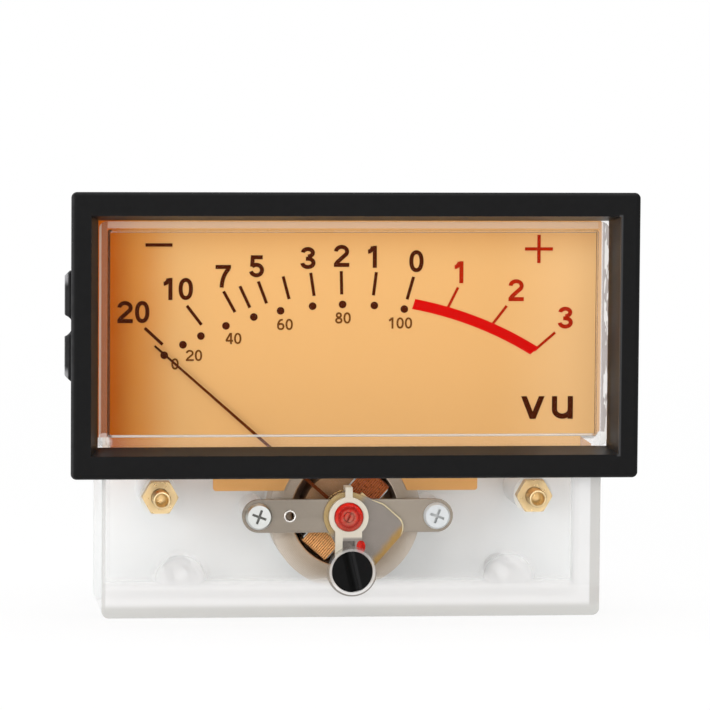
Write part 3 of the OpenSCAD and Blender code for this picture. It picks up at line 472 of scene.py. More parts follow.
def dial_finish(colors):
    """Amber sheet: a fine mottle, painted light at the right, painted shade at the left wall, the top and the
    tab below.
    """
    finish = Finish("Amber sheet")
    x, _, z = finish.axes()
    left = -WINDOW_HALF[0]
    wavering = finish.math("ADD", x, finish.product(finish.noise(5.0, 1.0), 0.8))
    middle = finish.blend(finish.noise(0.5), shade(colors.dial, 0.985), shade(colors.dial, 1.015))
    # Painted shade: deeper amber at the top and on the tab below, where the bezel shades the dial
    top = finish.span(z, BEZEL_MID_Z + 9.0, BEZEL_MID_Z + 15.0, (0.0, 0.35))
    tab = finish.span(z, BEZEL_LOW[2] + 2.0, BEZEL_LOW[2], (0.0, 0.2))
    # Painted light: paler amber towards the right, against the shade of the bezel's right wall
    middle = finish.blend(finish.span(x, 20.0, 32.0), middle, shade(colors.dial_pale_light))
    middle = finish.blend(finish.math("MAXIMUM", top, tab), middle, shade(colors.dial_warm_shade))
    # Painted shade: deeper amber beside the left wall, in the bezel's shadow from the key light
    warm = finish.blend(finish.span(wavering, left + 2.2, left + 6.6), shade(colors.dial_edge_shade),
                        shade(colors.dial_warm_shade))
    finish.set(Base_Color=finish.blend(finish.span(wavering, left + 5.2, left + 13.0), warm, middle))
    finish.set(Roughness=finish.span(finish.noise(1.2), 0.3, 0.7, (0.55, 0.68)))
    finish.bump(finish.noise(0.09, 2.0), 0.002)
    finish.set(Specular_IOR_Level=0.08)
    return finish


def ink_finish(name, tone):
    """Printing ink: nearly even, with the pinholes and the dull sheen of a screen print."""
    finish = grained(name, tone, 0.05, (0.55, 0.75), 0.08, 0.003)
    finish.set(Specular_IOR_Level=0.05)
    return finish


def figure_finish(colors):
    """Dark brown printing ink, thinner on the percent figures below the row of dots."""

    def coat(finish):
        x, _, _ = finish.axes()
        inside = finish.span(finish.radius(0.0, PIVOT[2] - SCALE_DROP), PERCENT_R + 0.1, PERCENT_R - 0.1)
        small = finish.product(inside, finish.span(x, PERCENT_X + 1.0, PERCENT_X - 1.0))
        return finish.blend(small, shade(colors.ink), shade(colors.thin_ink))

    return ink_finish("Figure ink", coat)


def red_scale_finish(colors):
    """Red printing ink, full on the band and thinner on the ticks outside it."""

    def coat(finish):
        outside = finish.span(finish.radius(0.0, PIVOT[2] - SCALE_DROP), BAND_R, BAND_R + 0.1)
        return finish.blend(outside, shade(colors.red_ink), shade(colors.red_figure))

    return ink_finish("Red scale ink", coat)


def needle_finish(colors):
    """Brown enamel, darker towards the tip of the needle."""

    def enamel(finish):
        outer = finish.span(finish.radius(0.0, PIVOT[2]), 0.8 * NEEDLE_REACH, NEEDLE_REACH)
        brown = finish.blend(finish.noise(1.8), shade(colors.needle, 0.8), shade(colors.needle, 1.2))
        return finish.blend(outer, brown, shade(colors.needle_tip))

    finish = grained("Needle enamel", enamel, 0.06, (0.5, 0.65), depth=0.003)
    finish.set(Specular_IOR_Level=0.05)
    return finish


def clear_finish(name, veil):
    """Clear moulding: see-through, with a veil and a Fresnel gloss as strong as the veil function says.

    Both are left out for shadow and diffuse rays, so that light gets in evenly.
    """
    finish = Finish(name)
    path = finish.nodes.new("ShaderNodeLightPath")
    unseen = finish.math("MAXIMUM", path.outputs["Is Shadow Ray"], path.outputs["Is Diffuse Ray"])
    seen = finish.math("SUBTRACT", 1.0, unseen)
    amount, tone, gloss_share = veil(finish)
    finish.set(Base_Color=tone, Specular_IOR_Level=0.2)
    finish.set(Roughness=finish.span(finish.noise(0.8), 0.3, 0.7, (0.3, 0.45)))
    finish.bump(finish.noise(1.5, 1.0), 0.002)
    clear = finish.nodes.new("ShaderNodeBsdfTransparent")
    veiled = finish.mix_shaders(finish.product(amount, seen), clear, finish.shader)
    gloss = finish.nodes.new("ShaderNodeBsdfGlossy")
    gloss.inputs["Roughness"].default_value = 0.06
    fresnel = finish.nodes.new("ShaderNodeFresnel")
    fresnel.inputs["IOR"].default_value = 1.11
    share = finish.product(fresnel.outputs[0], gloss_share, seen)
    finish.show(finish.mix_shaders(share, veiled, gloss))
    return finish


def fillet_veil(finish):
    """Veil of the window's inside fillet: painted reflections, pale below and amber on the right, painted
    shade on the left, thin on top.
    """
    x, _, z = finish.axes()
    inside_w, inside_h = WINDOW_HALF[0] - COVER_WALL, WINDOW_HALF[1] - COVER_WALL
    below = finish.span(z, BEZEL_MID_Z - inside_h + 0.8, BEZEL_MID_Z - inside_h + 0.4)
    left = finish.span(x, 0.8 - inside_w, 0.4 - inside_w)
    right = finish.span(x, inside_w - 0.8, inside_w - 0.4)
    amount = finish.span(below, 0.0, 1.0, (0.06, 0.45))
    amount = finish.math("MAXIMUM", amount, finish.product(left, 0.6))
    amount = finish.math("MAXIMUM", amount, finish.product(right, 0.3))
    # Painted reflections: pale below and amber from the dial on the right; painted shade: dark on the left
    tone = finish.blend(below, (0.90, 0.78, 0.66, 1.0), (0.95, 0.90, 0.84, 1.0))
    tone = finish.blend(right, tone, (0.66, 0.40, 0.22, 1.0))
    return amount, finish.blend(left, tone, (0.12, 0.05, 0.025, 1.0)), 1.0


def cover_veil(finish):
    """Veil of the cover, largely painted light: painted reflections in bands along the window's edges,
    painted glints in its lower corners, painted highlight streaks at its right edge and painted shade beside
    its walls;
    on the chin, sink marks and cloudy bands that also paint light over shadows, a pale ring on the adjuster's
    collar inside an outline of painted shade, grey bands of painted shade along the side walls and the floor,
    a faint veil on the screw pillars, and a painted amber reflection of the dial on the inside of the side
    walls behind the bezel."""
    x, y, z = finish.axes()
    half_w, half_h = WINDOW_HALF
    inside_w, inside_h = half_w - COVER_WALL, half_h - COVER_WALL
    rise = finish.math("SUBTRACT", z, BEZEL_MID_Z)
    aside = finish.math("ABSOLUTE", x)
    flat = finish.facing(1)
    pillar = finish.radius(PILLAR_X, PILLAR_Z, mirrored=True)
    thin = finish.product(finish.span(pillar, PILLAR_R - 0.1, PILLAR_R + 0.1),
                          finish.span(x, 0.1 - CHIN_HALF, 0.4 - CHIN_HALF))
    amount = finish.product(finish.math("SUBTRACT", 1.0, flat), finish.span(thin, 0.0, 1.0, (0.01, 0.06)))
    tone = finish.blend(finish.noise(3.0), (0.90, 0.90, 0.90, 1.0), (0.95, 0.95, 0.95, 1.0))

    def lay(mask, share, paint, where=1.0, ready=0.15):
        """Lays a patch over the veil so far; its paint is whole where the mask reaches the ready value."""
        nonlocal amount, tone
        mask = finish.product(mask, where)
        amount = finish.math("MAXIMUM", amount, finish.product(mask, share))
        tone = finish.blend(finish.span(mask, 0.0, ready), tone, (*paint, 1.0))

    # Painted amber reflection of the dial on the inside of the chin's side walls behind the bezel
    off_wall = finish.math("ABSOLUTE", finish.math("SUBTRACT", aside, CHIN_HALF - COVER_WALL))
    behind = finish.span(z, BEZEL_LOW[2] + 1.5, BEZEL_LOW[2] + 2.5)
    lay(finish.product(finish.span(off_wall, 0.1, 0.05), finish.facing(0)), 0.85, (0.80, 0.46, 0.19), behind)
    window = finish.span(y, WINDOW_FRONT + 0.3, WINDOW_FRONT + 0.1)
    # Painted reflections in pale bands along the window's top and bottom edges
    lay(finish.span(rise, inside_h + 0.15, inside_h + 0.4), 0.40, (0.74, 0.63, 0.54), window)
    lay(finish.span(rise, 0.1 - inside_h, -0.1 - inside_h), 0.08, (0.95, 0.90, 0.86), window)
    # At the window's right edge: a painted amber reflection of the dial, a grey band of painted shade, and
    # painted highlight streaks over it
    lay(finish.span(x, inside_w - 0.35, inside_w - 0.05), 0.45, (0.73, 0.48, 0.33), window)
    lay(finish.span(x, half_w - 0.95, half_w - 0.75), 0.8, (0.38, 0.33, 0.31), window)
    streak = finish.product(finish.span(x, half_w - 0.6, half_w - 0.45),
                            finish.span(finish.noise(0.5, stretch=(1, 1, 6)), 0.48, 0.62))
    lay(streak, 0.8, (0.84, 0.82, 0.80), window)
    # At the window's left edge: painted shade along the wall and a painted highlight on its outer edge
    lay(finish.span(x, -inside_w - 0.05, -inside_w - 0.2), 0.5, (0.26, 0.17, 0.12), window)
    lay(finish.span(x, -half_w + 0.35, -half_w + 0.15), 0.8, (0.66, 0.55, 0.47), window)
    # Painted glints in the window's lower corners
    corner = finish.radius(half_w - 0.8, BEZEL_MID_Z - half_h + 0.7, mirrored=True)
    glint = finish.product(finish.span(corner, 1.5, 0.2),
                           finish.span(finish.noise(0.9), 0.25, 0.6, (0.45, 1.0)))
    lay(glint, 0.85, (0.90, 0.88, 0.85), window)

    step = WINDOW_FRONT + CHIN_BACK
    chin = finish.product(finish.span(z, BEZEL_LOW[2] + 0.3, BEZEL_LOW[2] - 0.3),
                          finish.span(y, step + 0.4, step + 0.2))
    # A cloudy veil on the chin that also paints light over shade: over the screw pillars and the shadows of
    # their screws, along the foot and along the right side
    haze_over_shade = (0.80, 0.80, 0.80)
    beside = finish.math("SUBTRACT", finish.math("ABSOLUTE", finish.math("ADD", x, 1.0)), PILLAR_X)
    sink = finish.reach(beside, finish.math("SUBTRACT", z, PILLAR_Z + 0.8))
    lay(finish.span(sink, 4.6, 2.2), 0.68, haze_over_shade, chin)
    lay(finish.span(z, COVER_WALL + 4.8, COVER_WALL + 2.8), 0.87, haze_over_shade, chin)
    lay(finish.span(x, CHIN_HALF - 4.6, CHIN_HALF - 3.4), 0.8, haze_over_shade, chin)
    # Painted shade in grey bands along the chin's right and left walls and its floor
    lay(finish.span(x, CHIN_HALF - 1.6, CHIN_HALF - 1.2), 0.8, (0.53, 0.52, 0.50), chin, 1.0)
    lay(finish.span(x, 0.7 - CHIN_HALF, 0.3 - CHIN_HALF), 0.8, (0.64, 0.64, 0.63), chin, 1.0)
    lay(finish.span(z, COVER_WALL + 1.1, COVER_WALL - 0.3), 0.8, (0.56, 0.56, 0.54), chin, 1.0)
    # Painted shade in a dark outline round the adjuster's collar, and a pale ring on the collar, fainter
    # towards its top
    around = finish.radius(0.0, ADJUSTER[2])
    lay(finish.span(around, ADJUSTER_R + 0.7, ADJUSTER_R + 0.6), 0.32, (0.26, 0.24, 0.22), chin)
    lower = finish.product(chin, finish.span(z, ADJUSTER[2] + 3.0, ADJUSTER[2] + 1.2, (0.35, 1.0)))
    lay(finish.span(around, ADJUSTER_R + 0.42, ADJUSTER_R + 0.32), 0.5, (0.80, 0.79, 0.78), lower)
    return amount, tone, finish.span(flat, 0.3, 0.8, (0.12, 0.6))


def turned(name, tone, centre_x, centre_z, pitch, rough, metal=1.0):
    """Turned metal: fine rings round an axis along Y on each side, over a faint cast and a broken sheen."""

    def rings(finish):
        radius = finish.radius(centre_x, centre_z, mirrored=True)
        waves = finish.math("SINE", finish.product(radius, 2 * math.pi / pitch))
        return finish.math("ADD", waves, finish.noise(0.2))

    return grained(name, tone, 0.12, rough, 0.12, 0.006, metal, relief=rings)


def yoke_finish(colors):
    """Turned soft iron, brighter at its rim, brown in the left of its bore and pale in the right of it."""

    def iron(finish):
        x, _, _ = finish.axes()
        radius = finish.radius(0.0, PIVOT[2])
        rim = finish.span(radius, YOKE_BORE_R + 0.8, high("yoke_ring")[0])
        face = finish.blend(finish.noise(3.0), shade(colors.iron, 0.92), shade(colors.iron, 1.06))
        face = finish.blend(rim, face, shade(colors.iron_rim))
        bore = finish.blend(finish.span(x, 1.0, 4.5), shade(colors.stain), shade(colors.bore))
        return finish.blend(finish.span(radius, YOKE_BORE_R + 0.2, YOKE_BORE_R + 0.05), face, bore)

    finish = turned("Yoke iron", iron, 0.0, PIVOT[2], 0.22, (0.4, 0.55), 0.3)
    finish.set(Specular_IOR_Level=0.2)
    return finish


def strap_finish(colors):
    """Grey plating on the bridge strap, brushed along it and duller towards its left end."""
    brushed = (14, 1, 1)

    def plating(finish):
        x, _, _ = finish.axes()
        broad = finish.span(finish.noise(2.1, stretch=brushed), 0.3, 0.7)
        grey = finish.blend(broad, shade(colors.strap, 0.93), shade(colors.strap, 1.07))
        dull = finish.blend(broad, shade(colors.strap, 0.80), shade(colors.strap, 0.92))
        return finish.blend(finish.span(x, 1.0, -8.0), grey, dull)

    return grained("Plated strap", plating, 0.07, (0.34, 0.5), metal=0.55, stretch=brushed)


def plate_finish(colors):
    """Grey plating on the bridge plate, worn to brass at its far end and round the bush."""

    def plating(finish):
        edge = finish.math("ADD", finish.along(PIVOT[2], PLATE_TURN), finish.product(finish.noise(1.5), 0.9))
        grey = finish.blend(finish.noise(2.0), shade(colors.plate, 0.93), shade(colors.plate, 1.07))
        grey = finish.blend(finish.span(edge, 0.9, -0.2), grey, shade(colors.plate_pale))
        return finish.blend(finish.span(edge, 6.5, 7.5), grey, shade(colors.plate_edge))

    return grained("Plated plate", plating, 0.1, (0.34, 0.5), depth=0.003, metal=0.55)


def lacquer_finish(name, colors):
    """Thick red locking lacquer, mottled; painted shade on its lower part and in a ring, thin and pale over
    the jewel screw, with painted glints there.
    """

    def lumps(finish):
        radius = finish.radius(0.0, PIVOT[2])
        red = finish.blend(finish.span(finish.noise(0.7, 2.0), 0.35, 0.7), shade(colors.lacquer, 0.8),
                           shade(colors.lacquer, 1.3))
        # Painted shade in pinkish brown on the lower part of the lacquer
        below = finish.span(finish.along(PIVOT[2], 0.0), 0.9, -1.6)
        dull = finish.product(below, finish.span(radius, 2.2, 2.0), 0.6)
        red = finish.blend(dull, red, shade(colors.lacquer_thin_glint_shade, 0.8))
        # Painted shade in a ring round the jewel screw
        hollow = finish.product(finish.span(radius, 1.1, 1.3), finish.span(radius, 1.65, 1.4), 0.75)
        red = finish.blend(hollow, red, shade(colors.lacquer, 0.5))
        # Thin pale lacquer over the jewel screw, in noisy patches that are painted glints
        thin = finish.product(finish.span(radius, 1.2, 0.8), finish.span(finish.noise(0.5), 0.3, 0.6))
        return finish.blend(thin, red, shade(colors.lacquer_thin_glint_shade))

    finish = grained(name, lumps, 0.7, (0.3, 0.42), depth=0.06)
    finish.set(Specular_IOR_Level=0.06, Coat_Weight=0.07, Coat_Roughness=0.1)
    return finish


def lever_finish(colors):
    """Cream moulding, with painted shade in the plate's grey on the web between its ring and its fork and
    down its right leg.
    """

    def moulding(finish):
        x, _, z = finish.axes()
        drop = finish.math("SUBTRACT", PIVOT[2], z)
        # Painted shade in the plate's grey on the web below the ring and down the right leg
        web = finish.product(finish.span(x, -0.9, -0.7), finish.span(drop, 2.7, 3.1))
        cream = finish.blend(finish.noise(2.0), shade(colors.cream, 0.95), shade(colors.cream, 1.05))
        return finish.blend(web, cream, shade(colors.plate, 1.2))

    return grained("Cream moulding", moulding, 0.14, (0.36, 0.5))


def adjuster_finish(colors):
    """Black moulding, with a painted highlight along one side of the driver slot and painted shade along the
    other.
    """

    def moulding(finish):
        across = finish.along(ADJUSTER[2], SLOT_TURN + math.pi / 2)
        black = finish.blend(finish.noise(3.6), shade(colors.adjuster, 0.85), shade(colors.adjuster, 1.15))
        # Painted shade along the left side of the driver slot
        dark = finish.product(finish.span(across, -1.0, -0.7), finish.span(across, 0.2, -0.2))
        black = finish.blend(dark, black, shade(colors.adjuster, 0.15))
        # Painted highlight along the slot's lit right side
        pale = finish.product(finish.span(across, -0.1, 0.45), finish.span(across, 0.95, 0.75))
        return finish.blend(pale, black, shade(colors.adjuster, 3.4))

    finish = grained("Adjuster moulding", moulding, 0.12, (0.4, 0.55), depth=0.006)
    finish.set(Specular_IOR_Level=0.06)
    return finish


def screw_finish(name, colors):
    """Zinc-plated steel with a faint spangle."""
    return grained(name, colors.steel, 0.4, (0.32, 0.42), 0.08, 0.001, 1.0)


def strap_screw_finish(colors):
    """Zinc-plated steel with painted shade in the cross recesses of the heads, and whiter and less metallic
    on the right head.
    """
    face = low("strap_screws")[1]
    middle_x = high("strap_screws")[0] - STRAP_HEAD_R

    def bloom(finish):
        x, _, _ = finish.axes()
        return finish.product(finish.span(x, 2.0, 4.0), finish.span(finish.noise(2.5), 0.2, 0.6, (0.6, 1.0)))

    def plating(finish):
        x, y, _ = finish.axes()
        zinc = finish.blend(finish.noise(1.5), shade(colors.steel, 0.92), shade(colors.steel, 1.08))
        zinc = finish.blend(bloom(finish), zinc, shade(colors.bloom))
        # Painted shade in the cross recesses of the heads, fainter on the right head
        near = finish.span(finish.radius(middle_x, PIVOT[2], mirrored=True), 1.35, 1.25)
        sunk = finish.product(near, finish.span(y, face + 0.04, face + 0.12))
        dark = finish.product(sunk, finish.span(x, 4.0, 2.0, (0.35, 1.0)))
        return finish.blend(dark, zinc, shade(colors.recess))

    finish = grained("Strap screws", plating, 0.4, (0.32, 0.42), depth=0.001)
    finish.set(Metallic=finish.span(bloom(finish), 0.0, 1.0, (1.0, 0.15)))
    return finish


def wire_finish(colors):
    """Enamelled copper, bright at the lower left of the coil, with painted shade in dark red at its upper
    right.
    """

    def enamel(finish):
        x, _, z = finish.axes()
        # Painted shade: dark red towards the upper right of the coil
        rise = finish.math("ADD", x, finish.math("SUBTRACT", z, PIVOT[2]))
        copper = finish.blend(finish.noise(0.4), shade(colors.copper, 0.8), shade(colors.copper, 1.15))
        return finish.blend(finish.span(rise, -2.0, 5.0), copper, shade(colors.dark_copper))

    finish = grained("Enamelled copper", enamel, 0.08, (0.24, 0.4), metal=0.6)
    finish.set(Coat_Weight=0.2, Coat_Roughness=0.2)
    return finish


def skin(rings, loop=False):
    """Surface through closed rings of points.

    Neighbouring rings are joined by quads. The first and last rings get a fan to their middle, or are
    joined to each other where the row of rings is a loop. Faces are turned outwards by the sign of the
    enclosed volume.
    """
    rows, columns, _ = rings.shape
    index = np.arange(rows * columns).reshape(rows, columns)
    after = np.roll(index, -1, axis=1)
    first, second = (index, np.roll(index, -1, axis=0)) if loop else (index[:-1], index[1:])
    first_after, second_after = (after, np.roll(after, -1, axis=0)) if loop else (after[:-1], after[1:])
    quads = np.stack([first, first_after, second_after, second], axis=-1).reshape(-1, 4)
    points = rings.reshape(-1, 3)
    faces = quads.tolist()
    corners = [quads[:, [0, 1, 2]], quads[:, [0, 2, 3]]]
    if not loop:
        start, end = rows * columns, rows * columns + 1
        points = np.vstack([points, rings[0].mean(axis=0), rings[-1].mean(axis=0)])
        near = np.stack([np.full(columns, start), after[0], index[0]], axis=-1)
        far = np.stack([np.full(columns, end), index[-1], after[-1]], axis=-1)
        faces += near.tolist() + far.tolist()
        corners += [near, far]
    a, b, c = (points[np.vstack(corners)[:, k]] for k in range(3))
    if np.einsum("ij,ij->", a, np.cross(b, c)) < 0:
        faces = [face[::-1] for face in faces]
    return points, faces


def join(parts):
    """Several surfaces as one list of points and faces."""
    points, faces, count = [], [], 0
    for part_points, part_faces in parts:
        points.append(part_points)
        faces += [[corner + count for corner in face] for face in part_faces]
        count += len(part_points)
    return np.vstack(points), faces


def piece(name, parts, body, finish, smooth=True):
    """New piece from surfaces in millimetres, riding on a body and taking the finish's material."""
    points, faces = join(parts)
    mesh = bpy.data.meshes.new(name)
    mesh.from_pydata((points * MM).tolist(), [], faces)
    mesh.polygons.foreach_set("use_smooth", np.full(len(faces), smooth))
    mesh.materials.append(finish.material)
    mesh.update()
    made = bpy.data.objects.new(name, mesh)
    bpy.context.scene.collection.objects.link(made)
    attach(made, body)
    return made


def line(*points):
    """Straight strokes through points."""
    return np.array(points, float)


def arc(x, y, rx, ry, start, end, count=22):
    """Part of an ellipse, from one angle to another in degrees, anticlockwise from the right."""
    turn = np.radians(np.linspace(start, end, count))
    return np.stack([x + rx * np.cos(turn), y + ry * np.sin(turn)], axis=-1)


def run(*parts):
    """One stroke made of several runs of points."""
    return np.vstack(parts)


def ring(x, y, rx, ry, count=40):
    """Closed oval with slightly squared shoulders: an ellipse whose sine and cosine are raised to 0.9."""
    turn = np.linspace(0, 2 * np.pi, count, endpoint=False)
    flat = np.stack([np.cos(turn), np.sin(turn)], axis=-1)
    return np.array([x, y]) + np.array([rx, ry]) * np.sign(flat) * np.abs(flat) ** 0.9


def figure(sign, w):
    """Width and strokes of one figure of height 1, drawn with strokes of width w.

    A stroke is its middle line and whether it is closed. Round figures are ellipses and arcs that stay
    half a stroke inside the figure's box.
    """
    h = w / 2
    top = 1 - h
    if sign == "0":
        return 0.65, [(ring(0.325, 0.5, 0.325 - h, 0.5 - h), True)]
    if sign == "1":
        flag = arc(0.0, 1.0, 0.40 - w, 0.265, -90, -6, 12)
        return 0.40, [(line((0.40 - h, 0), (0.40 - h, 1)), False), (flag, False)]
    if sign == "2":
        bow = arc(0.345, 0.695, 0.345 - h, 0.305 - h, 178, -34)
        neck = arc(0.48, 0.06, 0.385, 0.29, 140, 172, 8)
        return 0.70, [(run(bow, neck), False), (line((0.0, h), (0.70, h)), False)]
    if sign == "3":
        upper = arc(0.34, 0.74, 0.32 - h, 0.26 - h, 176, -90)
        lower = arc(0.345, 0.28, 0.345 - h, 0.28 - h, 90, -177)
        return 0.69, [(upper, False), (run(line((0.25, 0.56 - h)), lower), False)]
    if sign == "4":
        slope = line((0.44, 0.98), (0.05, 0.29))
        return 0.66, [(slope, False), (line((0.03, 0.22 + h), (0.66, 0.22 + h)), False),
                      (line((0.48, 0), (0.48, 1)), False)]
    if sign == "5":
        bowl = arc(0.345, 0.33, 0.345 - h, 0.33 - h, 140, -166)
        return 0.69, [(line((0.63, top), (0.15, top)), False), (run(line((0.185, 1.0)), bowl[:1]), False),
                      (bowl, False)]
    if sign == "6":
        back = arc(0.42, 0.42, 0.42 - h, 0.58 - h, 78, 180)
        return 0.65, [(back, False), (ring(0.325, 0.32, 0.325 - h, 0.32 - h), True)]
    if sign == "7":
        leg = arc(0.99, -0.06, 0.71, 1.06, 122, 178, 16)
        return 0.70, [(line((0.0, top), (0.70, top)), False), (leg, False)]
    if sign == "8":
        upper = ring(0.32, 0.74, 0.27 - h, 0.26 - h)
        return 0.64, [(upper, True), (ring(0.32, 0.275, 0.32 - h, 0.275 - h), True)]
    raise ValueError(f"no figure for {sign!r}")


def ribbon(path, width, relief, closed=False, order=0, level=False):
    """Printed stroke: a flat rectangle carried along a path in the dial's plane.

    Each path point is moved half the width to both sides, along the level or along the mean normal of its
    two segments, lengthened at corners, and the four points in front and behind make one ring. The ink
    soaks into the dial by a film's thickness, and stands that much higher for each stroke that it crosses.
    """
    steps = np.roll(path, -1, axis=0) - path
    if not closed:
        steps[-1] = path[-1] - path[-2]
    before = np.roll(steps, 1, axis=0)
    if not closed:
        before[0] = steps[0]
    unit = steps / np.linalg.norm(steps, axis=1, keepdims=True)
    unit_before = before / np.linalg.norm(before, axis=1, keepdims=True)
    mean = unit + unit_before
    mean /= np.linalg.norm(mean, axis=1, keepdims=True)
    normal = np.stack([-mean[:, 1], mean[:, 0]], axis=-1)
    stretch = 1 / np.clip(np.sum(mean * unit, axis=1, keepdims=True), 0.6, 1.0)
    side = np.array([[width / 2, 0.0]]) if level else normal * stretch * width / 2
    ones = np.ones(len(path))
    back, front = DIAL_FACE + INK_FILM, DIAL_FACE - relief - order * INK_FILM
    rings = [np.stack([edge[:, 0], ones * y, edge[:, 1]], axis=-1)
             for edge, y in ((path + side, back), (path - side, back),
                             (path - side, front), (path + side, front))]
    return skin(np.stack(rings, axis=1), closed)


def label(text, x, z, height, weight, relief):
    """Strokes of a number round its middle, with more room behind a 1 than behind the other figures."""
    gaps = [0.28 if sign == "1" else 0.10 for sign in text[:-1]] + [0.0]
    drawn = [figure(sign, weight) for sign in text]
    start = -(sum(width for width, _ in drawn) + sum(gaps)) / 2
    parts = []
    for (width, strokes), gap in zip(drawn, gaps):
        for order, (path, closed) in enumerate(strokes):
            place = (path + np.array([start, -0.5])) * height + np.array([x, z])
            parts.append(ribbon(place, weight * height, relief, closed, order))
        start += width + gap
    return parts


def unit_letters(x, z, height, relief):
    """The letters v and u round their middle, in a heavy upright hand.

    The v is two slanted strokes with level ends. The u is a stem that runs into half an ellipse, and a
    second stem.
    """
    slant_weight, weight = 0.25 * height, 0.23 * height
    gap = 0.33 * height
    v_w, u_w = 1.04 * height, 0.93 * height
    left = x - (v_w + gap + u_w) / 2
    top, foot = z + height / 2, (left + v_w / 2, z - height / 2)
    v_left = line((left + slant_weight / 2, top), foot)
    v_right = line((left + v_w - slant_weight / 2, top), foot)
    start = left + v_w + gap
    stem = weight / 2
    bowl_r = (u_w - weight) / 2
    bowl = arc(start + u_w / 2, z - height / 2 + 0.42 * height, bowl_r, 0.42 * height - stem, 180, 360, 26)
    u_left = run(line((start + stem, top)), bowl)
    u_right = line((start + u_w - stem, top), (start + u_w - stem, z - height / 2))
    return [
        ribbon(v_left, slant_weight, relief, level=True),
        ribbon(u_left, weight, relief),
        ribbon(v_right, slant_weight, relief, order=1, level=True),
        ribbon(u_right, weight, relief, order=1),
    ]


def rounded_path(half_w, half_h, corner):
    """Points of a rounded rectangle and their outward normals: four quarter circles, joined by straights."""
    quarter = np.radians(np.linspace(0, 90, 6))
    turns = np.concatenate([quarter + np.pi / 2 * k for k in range(4)])
    normal = np.stack([np.cos(turns), np.sin(turns)], axis=-1)
    signs = np.repeat(np.array([(1, 1), (-1, 1), (-1, -1), (1, -1)]), len(quarter), axis=0)
    return signs * np.array([half_w - corner, half_h - corner]) + normal * corner, normal


def wire_loop(across, front, back, radius, sides=8):
    """One turn of wire: a circle carried round a rounded rectangle across the needle.

    The path lies in the plane of the coil, and each of its points has a small circle in the plane of its
    outward normal and the needle's direction.
    """
    edge, normal = rounded_path(COIL_HALF, (back - front) / 2, COIL_CORNER)
    centre = edge - normal * radius
    round_wire = np.linspace(0, 2 * np.pi, sides, endpoint=False)
    out = radius * np.cos(round_wire)
    u = centre[:, None, 0] + normal[:, None, 0] * out
    y = (front + back) / 2 + centre[:, None, 1] + normal[:, None, 1] * out
    v = np.broadcast_to(across + radius * np.sin(round_wire), u.shape)
    x = u * math.cos(NEEDLE_LEAN) + v * math.sin(NEEDLE_LEAN)
    z = PIVOT[2] - u * math.sin(NEEDLE_LEAN) + v * math.cos(NEEDLE_LEAN)
    return skin(np.stack([x, y, z], axis=-1), loop=True)


def threaded_stud(x, z, sizes):
    """Stud turned round an axis along Y, tubular in front and with a pin behind.

    The radius follows the stud's outline. On the thread it is the outer radius less half the thread's
    depth times one minus the cosine of the turns run through, less the angle, which makes a helix.
    """
    pitch, depth = sizes.thread_pitch / MM, sizes.thread_depth / MM
    front, back = low("terminal_studs")[1], high("terminal_studs")[1]
    outer = high("terminal_studs")[2] - z
    bore, pin = outer - 0.4, outer - 0.35
    bore_end, plain_end, thread_end = front + 3.0, front + 1.6, high("rear_nuts")[1] + 0.6
    lip, point = 0.12, 0.25
    bore_rows = [(bore_end, 0.3 * bore), (bore_end, bore), (front + 0.15, bore), (front, bore + lip)]
    rim_rows = [(front, outer - lip), (front + lip, outer)]
    plain = np.array(bore_rows + rim_rows)
    thread_y = np.arange(plain_end, thread_end, pitch / 8)
    tail = np.array([(thread_end, outer - depth), (thread_end + 0.02, pin), (back - point, pin),
                     (back, pin - point)])
    y = np.concatenate([plain[:, 0], thread_y, tail[:, 0]])
    radius = np.concatenate([plain[:, 1], np.full(len(thread_y), outer), tail[:, 1]])
    cut = np.concatenate([np.zeros(len(plain)), np.ones(len(thread_y)), np.zeros(len(tail))]) * depth / 2
    turn = np.linspace(0, 2 * np.pi, 36, endpoint=False)
    phase = (y[:, None] - plain_end) / pitch * 2 * np.pi - turn
    r = radius[:, None] - cut[:, None] * (1 - np.cos(phase))
    ring_y = np.broadcast_to(y[:, None], r.shape)
    return skin(np.stack([x + r * np.cos(turn), ring_y, z + r * np.sin(turn)], axis=-1))


def bead(path, face, radius, sides=10):
    """Half-sunk bead along an open path in the plane of a plate.

    A circle is carried along the path, and its radius falls off towards both ends with the root of the
    sine of the way along it.
    """
    step = np.gradient(path, axis=0)
    step /= np.linalg.norm(step, axis=1, keepdims=True)
    normal = np.stack([-step[:, 1], step[:, 0]], axis=-1)
    turn = np.linspace(0, 2 * np.pi, sides, endpoint=False)
    taper = np.sqrt(np.clip(np.sin(np.linspace(0, np.pi, len(path))), 0.02, 1))[:, None]
    out = radius * taper * np.cos(turn)
    x = path[:, None, 0] + normal[:, None, 0] * out
    z = path[:, None, 1] + normal[:, None, 1] * out
    y = face - radius * 0.35 + radius * taper * np.sin(turn)
    return skin(np.stack([x, y, z], axis=-1))


def eyelet(x, z, face, radius, wire, sides=12):
    """Rolled rim of a hole: a circle carried round a circle."""
    turn = np.linspace(0, 2 * np.pi, 40, endpoint=False)[:, None]
    small = np.linspace(0, 2 * np.pi, sides, endpoint=False)
    reach = radius + wire * np.cos(small)
    y = face + np.broadcast_to(wire * np.sin(small), (len(turn), sides))
    return skin(np.stack([x + reach * np.cos(turn), y, z + reach * np.sin(turn)], axis=-1), loop=True)


